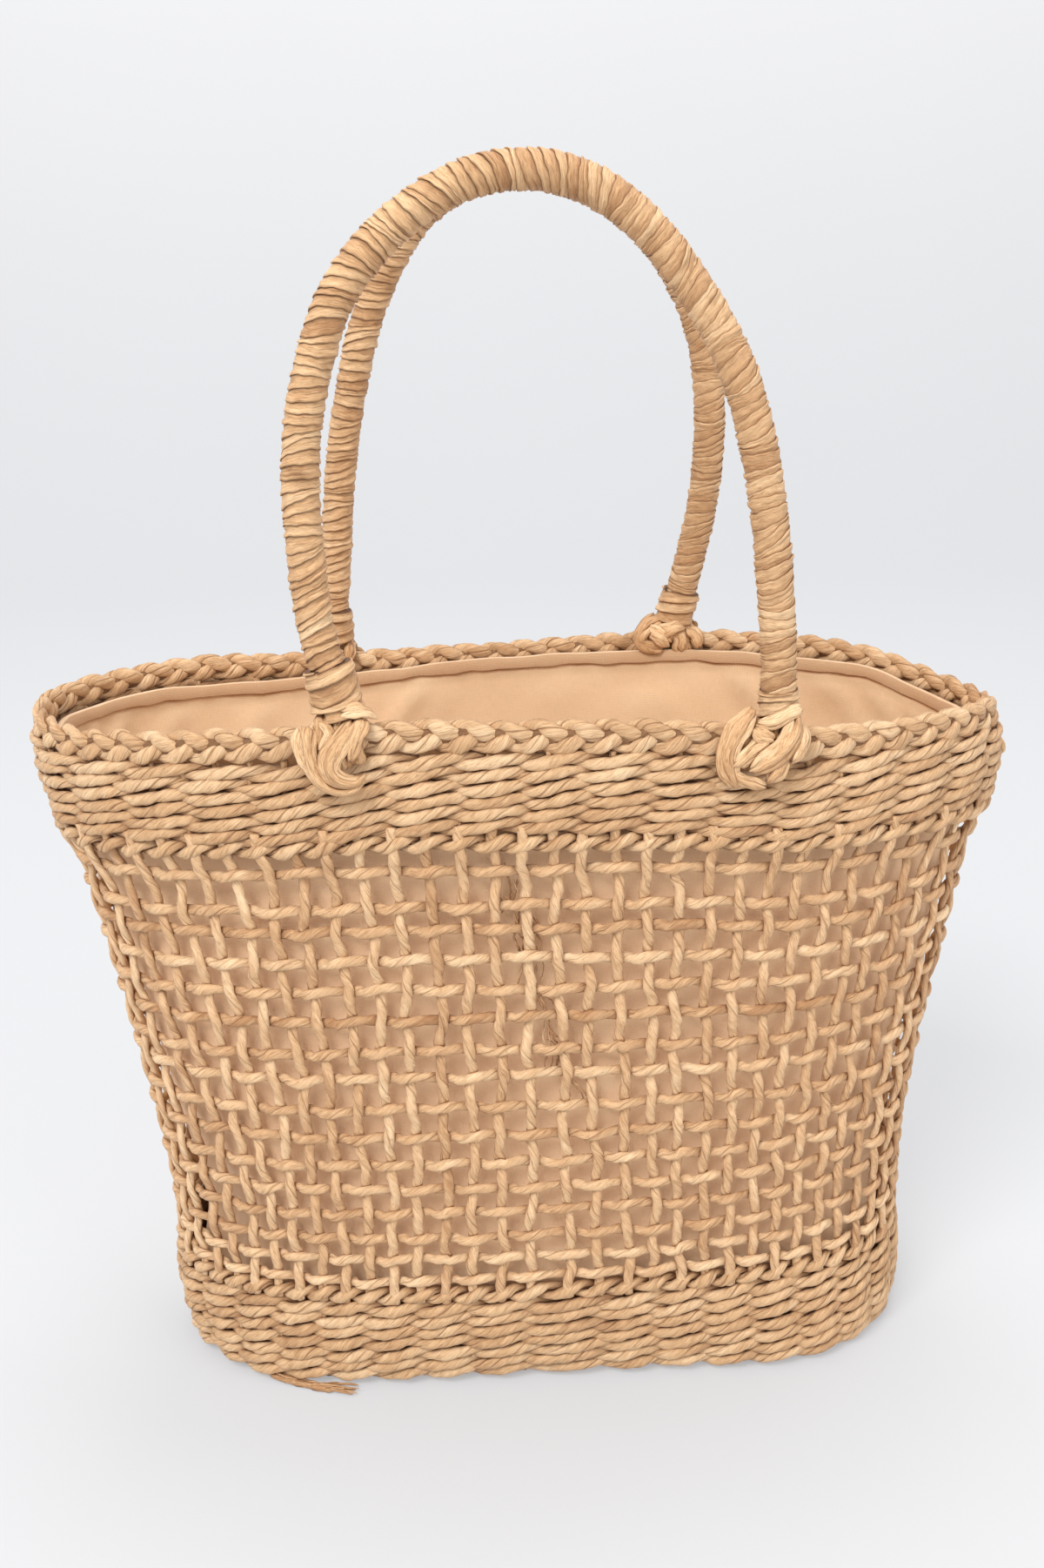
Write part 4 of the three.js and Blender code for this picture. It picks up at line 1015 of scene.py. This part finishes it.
# ----------------------------------------------------------------- the lashings
def pleats(piece, points, wide, thick, many, seed, tone, outs):
    """A strap of folded straw: narrow strips that lap side by side. wide is
    the half width at four places from start to end."""
    points = np.asarray(points, float)
    far = np.sum(np.linalg.norm(np.diff(points, axis=0), axis=1))
    P, L = smooth_line(points, max(16, int(far / 1.15)))
    out = unit(P - outs(P))
    T = unit(np.gradient(P, axis=0))
    B = unit(np.cross(T, out))
    O = np.cross(B, T)
    f = L / L[-1]
    width = table([0, 0.3, 0.7, 1.0], wide)(f)
    r = np.random.default_rng(seed)
    for k in range(many):
        place = (k + 0.5) / many * 2 - 1 + 0.5 / many * np.sin(TAU * f * r.uniform(0.4, 1.3) + r.uniform(0, TAU))
        dome = -0.28 * width * place ** 2
        lift = dome + (0.32 if k % 2 else -0.22) + 0.20 * np.sin(TAU * f * r.uniform(0.6, 1.8) + r.uniform(0, TAU))
        line = P + B * (place * width * 0.86)[:, None] + O * lift[:, None]
        start, stop = int(r.uniform(0, 0.06) * len(f)), len(f) - int(r.uniform(0, 0.10) * len(f))
        keep = slice(start, stop)
        size = (width * 1.55 / many + 0.35)[keep] * (1 + 0.10 * np.sin(TAU * f[keep] * 2.1 + r.uniform(0, TAU)))
        # painted shade on the strips' flanks
        piece.strands(line[None, keep], O[None, keep], np.full((1, len(size)), thick), size[None], 12, 95.0, seed + 3 * k,
                      lobes=4, notch=0.15, rough=0.10, tone=tone + 0.5 * r.normal(), taper=2.2, slant=0.30,
                      flank_shade=0.55, lines=0.55)


def bound_foot(rows, end, face, seed):
    """The broad turns round the foot of a leg."""
    fat, step, high = ((10.2, 5.4, 19.0) if face < 0 and not end else (8.5, 4.6, 12.0) if face < 0 else (9.6, 5.2, 15.0))
    points = seated(rows)
    if end:
        points = points[::-1]
    P, L = smooth_line(points, 260)
    far = min(22.0, L[-1])
    keep = L <= far + 8
    piece = winding(P[keep], L[keep], seed, fat, step, -1.0, high, tilt=1.9, rise=1.2, around=44, piece=Piece(24.0),
                    jolts=2.0, limit=fat + 2.2, lean=2.2)
    return piece, points[0]





def strap_path(foot, face, cloud):
    """Places on the bound foot: (side, out, up) from the plait's middle."""
    return np.array([(foot[0] + a, foot[1] + face * b, foot[2] - FOOT_RISE + c) for a, b, c in cloud])


def tied(name, rows, end, node, face, seed, cloud, core):
    piece, foot = bound_foot(rows, end, face, seed)
    middle = np.array([foot[0], foot[1] - face * 4.0, foot[2] - FOOT_RISE])

    def from_middle(P):
        c = np.broadcast_to(middle, P.shape).copy()
        c[:, 0] = middle[0] + 0.75 * (P[:, 0] - middle[0])
        c[:, 2] = middle[2] + 0.72 * (P[:, 2] - middle[2])
        return c
    for k, (wide, thick, many, path) in enumerate(cloud + AROUND):
        pleats(piece, strap_path(foot, face, path), wide, thick, many, seed + 100 + 17 * k,
               (-0.2, 0.3, 0.0, 0.4)[k % 4], from_middle)
    # straw packed under the straps
    for k, (wide, thick, path) in enumerate(core):
        pleats(piece, strap_path(foot, face, path), (wide, wide, wide, wide), thick, 2, seed + 400 + 13 * k, -0.6, from_middle)
    swapped = piece.make(name, WRAP, [node], "straw_wrap")
    return swapped


# ------------------------------------------------------------------ woven floor
def floor_weave():
    piece = Piece(14.0)
    a, b, n, cx = (float(f(12.0)) for f in SECTION)
    for k in range(8):
        inset = 10.6 + 5.6 * k
        K = max(60, 164 - 13 * k)
        u = np.arange(K) / K
        s = u * STAKES
        x, y, nx, ny = oval(a - inset, b - inset, n, cx, turn(s), -bulge(turn(s), 12.0) * (b - inset) / b)
        for pair in range(2):
            angle = math.pi * (s - PHASE - 2 * pair) / 2
            swing = np.cos(angle)
            P = np.stack([x + nx * 0.9 * np.sin(angle), y + ny * 0.9 * np.sin(angle), 3.6 - 1.5 * power(swing, 0.7)], -1)
            N = np.tile(np.array([0.0, 0.0, -1.0]), (K, 1))
            # painted shade on the flanks
            piece.strands(P[None], N[None], 1.45, 2.9, 9, 24.0, 500 + 10 * k + pair, closed=True, rough=0.06, flank_shade=0.4)
    # the middle: straight lays
    M = 9
    yy = (np.arange(M) - (M - 1) / 2) * 0.9
    K = 90
    x = np.linspace(cx - (a - 53), cx + (a - 53), K)
    wave = np.where(np.arange(M)[:, None] % 2 == 0, 1, -1) * np.sin(x[None] / 12.0 * math.pi)
    yy = (np.arange(M) - (M - 1) / 2) * 1.6
    P = np.stack([np.broadcast_to(x, (M, K)), yy[:, None] + 0.3 * wave, 3.6 - 1.2 * wave], -1)
    N = np.broadcast_to(np.array([0.0, 0.0, -1.0]), P.shape)
    piece.strands(P, N, 1.4, 2.0, 9, 24.0, 601, rough=0.06, taper=3.0)
    # cross straws that the rows bind
    M = 30
    xs = np.linspace(-152, 152, M) + cx
    K = 40
    half = b * (1 - np.abs((xs - cx) / a) ** n) ** (1 / n) - 7.2
    y = np.linspace(-1, 1, K)[None] * half[:, None]
    P = np.stack([np.broadcast_to(xs[:, None], y.shape) + 0.4 * np.sin(y / 9), y, np.full_like(y, 4.2)], -1)
    N = np.broadcast_to(np.array([0.0, 0.0, -1.0]), P.shape)
    piece.strands(P, N, 1.3, 2.6, 6, 25.0, 611, rough=0.05, taper=2.0)
    return piece


# --------------------------------------------------------------------- assembly
def whole():
    stakes, weavers = lattice()
    behind_lattice(weavers)
    stakes.make("bag_uprights", LATTICE, ["lattice_wall"], "straw_lattice")
    weavers.make("bag_weavers", LATTICE, ["lattice_wall"], "straw_lattice")
    top, bottom = bands()
    loose_ends(bottom)
    P, N = wall(np.array([296.0, 297.5, 296.0, 291.0, 287.0, 286.0]), turn(np.array([0.9, 0.5, 0.1, 0.1, 0.5, 1.0])),
                np.array([1.5, -2.2, -4.6, -4.8, -2.0, 1.5]))
    wisps(top, [(0.95, 0.4, P)], 861)
    top.make("bag_top_band", BAND, ["top_band"], "straw_band")
    bottom.make("bag_bottom_band", BAND, ["bottom_band"], "straw_band")
    plait().make("bag_rim_plait", PLAIT, ["rim_plait"], "straw_plait")
    floor_weave().make("bag_floor", BAND, ["base_floor"], "straw_band")
    lining()
    handle(HANDLE_FRONT, 3).make("bag_handle_front", WRAP, ["handle_front"], "straw_wrap")
    handle(HANDLE_BACK, 8).make("bag_handle_back", WRAP, ["handle_back"], "straw_wrap")
    for name, rows, end, face, seed in (
            ("front_left", HANDLE_FRONT, 0, -1.0, 701), ("front_right", HANDLE_FRONT, 1, -1.0, 801),
            ("back_left", HANDLE_BACK, 0, 1.0, 901), ("back_right", HANDLE_BACK, 1, 1.0, 951)):
        cloud, core = STRAPS[name]
        tied("bag_lashing_" + name, rows, end, "lashing_" + name, face, seed, cloud, core)


# Straps of each lashing: half widths, half thickness, strips, then places
# (side, out, up) from the plait's middle.
CORE = [
    (3.4, 1.9, [(-4.5, 3, 11), (-5.5, 7.6, 5), (-5.5, 8.6, -3), (-4.0, 7.8, -10)]),
    (3.4, 1.9, [(1.5, 4, 12), (1.0, 8.0, 5), (1.0, 8.8, -4), (2.0, 8.0, -11)]),
    (3.2, 1.9, [(6.5, 3, 10), (6.0, 7.6, 4), (5.5, 8.4, -3), (6.0, 7.6, -9)]),
]
# turns that pass over the plait beside the leg and down its inner face
AROUND = [
    ((2.2, 2.8, 2.8, 2.2), 1.0, 2, [(-6.0, 9.4, 0.5), (-7.4, 7.0, 6.6), (-7.8, 0, 8.4), (-7.4, -6.4, 5.5), (-6.0, -7.4, -1)]),
    ((2.2, 2.8, 2.8, 2.2), 1.0, 2, [(6.0, 9.4, 0.5), (7.4, 7.0, 6.6), (7.8, 0, 8.2), (7.2, -6.4, 5.5), (6.0, -7.4, -1)]),
    ((2.4, 3.2, 3.2, 2.4), 1.0, 3, [(-5.0, -6.8, 8), (0, -8.6, 5), (5.5, -8.4, 0), (8.0, -7.0, -4)]),
]
STRAPS = {
    "front_left": ([
        ((4.6, 3.2, 2.9, 1.4), 1.25, 3, [(-10.8, 7.6, 8.4), (-11.6, 9.8, 3), (-11.8, 10.8, -2.5), (-10.6, 11.0, -8.5),
                                         (-7.4, 11.2, -14), (-2.0, 11.2, -17.2), (4.0, 11.0, -17.2), (9.2, 10.4, -13.6)]),
        ((3.0, 4.0, 3.2, 1.6), 1.3, 3, [(6.6, 7.6, 9.6), (3.2, 10.4, 4.8), (-0.6, 12.0, -0.6), (-3.2, 12.6, -5.6),
                                        (-2.6, 12.6, -10.4), (1.2, 12.4, -13.6), (5.9, 11.6, -14.2), (9.6, 10.6, -11.2)]),
        ((2.4, 2.6, 2.2, 1.2), 1.1, 2, [(9.4, 6.6, 9.4), (7.8, 9.4, 4.6), (5.2, 10.6, -1.2), (3.6, 10.8, -6.0)]),
        ((1.7, 2.0, 1.6, 0.9), 1.0, 2, [(-14.2, 7.4, 6.6), (-15.0, 9.4, 1.0), (-13.6, 10.2, -6.0), (-11.4, 10.4, -10.5)]),
        ((2.0, 2.2, 1.5, 0.7), 1.0, 2, [(1.0, 9.4, 12.6), (7.0, 8.0, 13.0), (11.6, 5.4, 11.2), (14.6, 3.4, 8.2)]),
        ((1.6, 1.9, 1.6, 0.9), 1.0, 2, [(-6.5, 8.6, 9.2), (-3.0, 9.8, 5.0), (-5.2, 10.2, 0.6), (-6.6, 10.4, -4.0)]),
    ], CORE),
    "front_right": ([
        ((2.4, 4.8, 4.2, 1.4), 1.3, 4, [(-11.0, 6.8, 15.6), (-15.6, 9.0, 11.0), (-19.6, 10.4, 5.4), (-22.2, 11.0, -1.2),
                                        (-21.8, 11.0, -7.4), (-19.0, 10.4, -13.0), (-17.4, 9.6, -16.0)]),
        ((2.6, 3.2, 3.0, 2.0), 1.2, 3, [(-5.0, 9.8, 5.0), (-9.6, 11.2, 1.4), (-15.2, 12.2, -2.4), (-20.0, 12.2, -5.2)]),
        ((2.6, 4.6, 4.4, 2.0), 1.3, 4, [(4.8, 7.6, 13.6), (3.8, 10.0, 8.0), (0.6, 11.6, 2.4), (-4.6, 12.8, -2.6), (-9.6, 13.0, -5.6),
                                        (-13.4, 12.6, -8.0)]),
        ((1.8, 2.3, 2.4, 1.4), 1.0, 3, [(-21.6, 9.8, -6.6), (-17.4, 11.2, -11.0), (-12.0, 11.6, -13.4), (-6.4, 10.8, -14.8)]),
        ((2.6, 3.4, 3.2, 2.0), 1.1, 3, [(1.2, 9.8, -3.0), (-1.4, 11.2, -7.0), (-3.6, 11.2, -10.6), (-5.4, 10.0, -13.4)]),
        ((2.2, 2.8, 2.6, 1.2), 1.1, 3, [(7.6, 6.6, 15.2), (2.0, 9.6, 14.2), (-5.0, 10.2, 11.0), (-11.4, 8.6, 10.6)]),
        ((1.6, 2.2, 1.8, 1.2), 1.0, 2, [(-12.0, 9.0, 8.6), (-8.6, 10.8, 6.2), (-5.2, 11.0, 4.6), (-3.2, 10.6, 3.2)]),
        ((2.0, 2.6, 2.4, 1.4), 1.0, 3, [(7.4, 5.8, 9.0), (8.0, 8.6, 4.0), (6.2, 10.0, -1.6), (3.0, 10.4, -5.6)]),
    ], [(w, t, [(a - 5.0 - 0.25 * (12 - c), b, c) for a, b, c in p]) for w, t, p in CORE]),
    "back_left": ([
        ((2.6, 3.2, 2.9, 1.4), 1.15, 3, [(8.6, 6.8, 3.6), (10.2, 9.2, 1.0), (10.8, 10.6, -4.0), (9.6, 11.2, -9.5),
                                         (4.4, 11.4, -13.5), (-3.0, 11.0, -14.4)]),
        ((3.0, 4.0, 3.2, 1.6), 1.2, 5, [(-6.6, 7.6, 9.6), (-3.2, 10.4, 4.8), (0.6, 12.0, -0.6), (3.2, 12.6, -5.6),
                                        (2.0, 12.4, -10.4)]),
        ((2.4, 2.6, 2.2, 1.2), 1.1, 3, [(-9.4, 6.6, 9.4), (-7.8, 9.4, 4.6), (-5.2, 10.6, -1.2), (-2.6, 10.8, -6.0)]),
    ], CORE),
    "back_right": ([
        ((4.2, 3.4, 2.9, 1.4), 1.15, 4, [(9.8, 7.6, 8.4), (9.6, 9.8, 3), (7.4, 10.8, -3.5), (3.6, 11.2, -9.5),
                                         (-3.4, 11.2, -13.0), (-10.0, 10.6, -13.4)]),
        ((3.0, 4.2, 3.4, 1.6), 1.2, 5, [(-6.6, 7.6, 10.6), (-10.2, 10.0, 5.8), (-13.6, 11.4, 0.4), (-14.2, 12.0, -5.6),
                                        (-11.0, 11.8, -10.4)]),
        ((2.4, 3.2, 3.2, 2.2), 1.3, 2, [(-6.0, -5.6, 10.6), (-11.6, -6.4, 9.6), (-16.4, -7.6, 5.6), (-16.8, -8.6, 1.4),
                                        (-11.0, -9.4, -1.4), (-4.4, -9.2, -2.0)]),
        ((2.8, 3.6, 3.2, 2.2), 1.4, 2, [(-12.4, -7.6, 8.6), (-9.6, -9.8, 5.4), (-6.0, -10.4, 2.6), (-2.0, -9.4, -0.4)]),
        ((2.4, 3.0, 2.8, 2.0), 1.3, 2, [(-8.4, -7.4, 4.0), (-5.0, -9.6, 7.0), (0.4, -9.8, 8.4), (5.0, -8.4, 7.8)]),
        ((3.2, 4.2, 3.8, 3.2), 1.2, 3, [(1.0, -7.4, 7.6), (2.6, -9.2, 3.8), (3.6, -9.6, -0.6), (3.8, -9.2, -4.6)]),
        ((2.6, 3.4, 3.2, 2.4), 1.2, 2, [(7.0, -6.2, 7.2), (9.8, -8.2, 4.2), (11.6, -8.8, 0.8), (12.4, -8.4, -3.2)]),
    ], [(w, t, [(a - 3.5, b, c) for a, b, c in p]) for w, t, p in CORE]),
}

whole()

# --------------------------------------------------------------- studio and eye
def studio():
    # floor that sweeps up into a backdrop
    path = [(-3.0, 0.0), (1.6, 0.0)]
    path += [(1.6 + 1.6 * math.sin(a), 1.6 - 1.6 * math.cos(a)) for a in np.linspace(0.08, math.pi / 2, 24)]
    path += [(3.2, 5.0)]
    verts, faces = [], []
    for k, (y, z) in enumerate(path):
        verts += [(-6.0, y, z), (6.0, y, z)]
        if k:
            faces.append((2 * k - 2, 2 * k - 1, 2 * k + 1, 2 * k))
    me = bpy.data.meshes.new("studio_sweep")
    me.from_pydata(verts, [], faces)
    me.polygons.foreach_set("use_smooth", [True] * len(faces))
    n = Nodes("pale_paper")
    tex = n.add("ShaderNodeTexCoord")
    noise = n.add("ShaderNodeTexNoise", in_Scale=1.3, in_Detail=2.0)
    n.link(tex.outputs["Object"], noise.inputs["Vector"])
    colour = n.ramp(noise.outputs[0], [(0.3, (0.346, 0.350, 0.356, 1)), (0.7, (0.353, 0.357, 0.363, 1))])
    shader = n.add("ShaderNodeBsdfPrincipled")
    shader.inputs["Roughness"].default_value = 0.9
    shader.inputs["Specular IOR Level"].default_value = 0.1
    n.link(colour, shader.inputs["Base Color"])
    normal = n.add("ShaderNodeNewGeometry")
    split = n.add("ShaderNodeSeparateXYZ")
    n.link(normal.outputs["Normal"], split.inputs[0])
    glow = n.ramp(split.outputs[2], [(0.0, (0.640, 0.636, 0.642, 1)), (0.4, (0.488, 0.484, 0.490, 1)), (1.0, (0.335, 0.337, 0.347, 1))])
    n.link(glow, shader.inputs["Emission Color"])
    shader.inputs["Emission Strength"].default_value = 1.0
    output = n.add("ShaderNodeOutputMaterial")
    n.link(shader.outputs[0], output.inputs[0])
    me.materials.append(n.mat)
    sweep = bpy.data.objects.new("studio_sweep", me)
    bpy.context.scene.collection.objects.link(sweep)

    world = bpy.data.worlds.new("studio")
    bpy.context.scene.world = world
    world.use_nodes = True
    bg = world.node_tree.nodes["Background"]
    bg.inputs[0].default_value = (0.98, 0.99, 1.0, 1)
    bg.inputs[1].default_value = 0.80

    def area(name, place, size, power_w, aim=(0, 0, 0.2), colour=(1, 1, 1)):
        lamp = bpy.data.lights.new(name, "AREA")
        lamp.shape = "RECTANGLE"
        lamp.size, lamp.size_y = size
        lamp.energy = power_w
        lamp.color = colour
        ob = bpy.data.objects.new(name, lamp)
        ob.location = place
        d = np.array(aim, float) - np.array(place, float)
        d /= np.linalg.norm(d)
        up = np.array([0, 0, 1.0])
        z = -d
        x = np.cross(up, z)
        x /= np.linalg.norm(x)
        y = np.cross(z, x)
        from mathutils import Matrix
        ob.matrix_world = Matrix(((x[0], y[0], z[0], place[0]), (x[1], y[1], z[1], place[1]),
                                  (x[2], y[2], z[2], place[2]), (0, 0, 0, 1)))
        bpy.context.scene.collection.objects.link(ob)
    area("key_softbox", (-1.1, -1.7, 2.5), (1.3, 1.1), 67)
    area("fill_softbox", (1.9, -1.7, 1.3), (1.6, 1.6), 15.5)
    area("top_softbox", (0.2, 0.5, 2.8), (1.4, 1.0), 26)


def eye():
    psi, theta, roll = (math.radians(a) for a in (3.907, 19.917, -0.857))
    R = np.array([math.cos(psi), -math.sin(psi), 0.0])
    D = np.array([math.sin(psi) * math.cos(theta), math.cos(psi) * math.cos(theta), -math.sin(theta)])
    U = np.array([math.sin(psi) * math.sin(theta), math.cos(psi) * math.sin(theta), math.cos(theta)])
    right = R * math.cos(roll) + U * math.sin(roll)
    up = U * math.cos(roll) - R * math.sin(roll)
    place = (-0.04366, -0.62037, 0.49754)
    cam = bpy.data.cameras.new("camera")
    cam.sensor_width = 36.0
    cam.sensor_fit = "AUTO"
    cam.lens = 34.28
    cam.clip_start, cam.clip_end = 0.02, 60
    ob = bpy.data.objects.new("camera", cam)
    from mathutils import Matrix
    ob.matrix_world = Matrix(((right[0], up[0], -D[0], place[0]), (right[1], up[1], -D[1], place[1]),
                              (right[2], up[2], -D[2], place[2]), (0, 0, 0, 1)))
    bpy.context.scene.collection.objects.link(ob)
    bpy.context.scene.camera = ob


studio()
eye()
bpy.context.scene.view_settings.view_transform = "Standard"
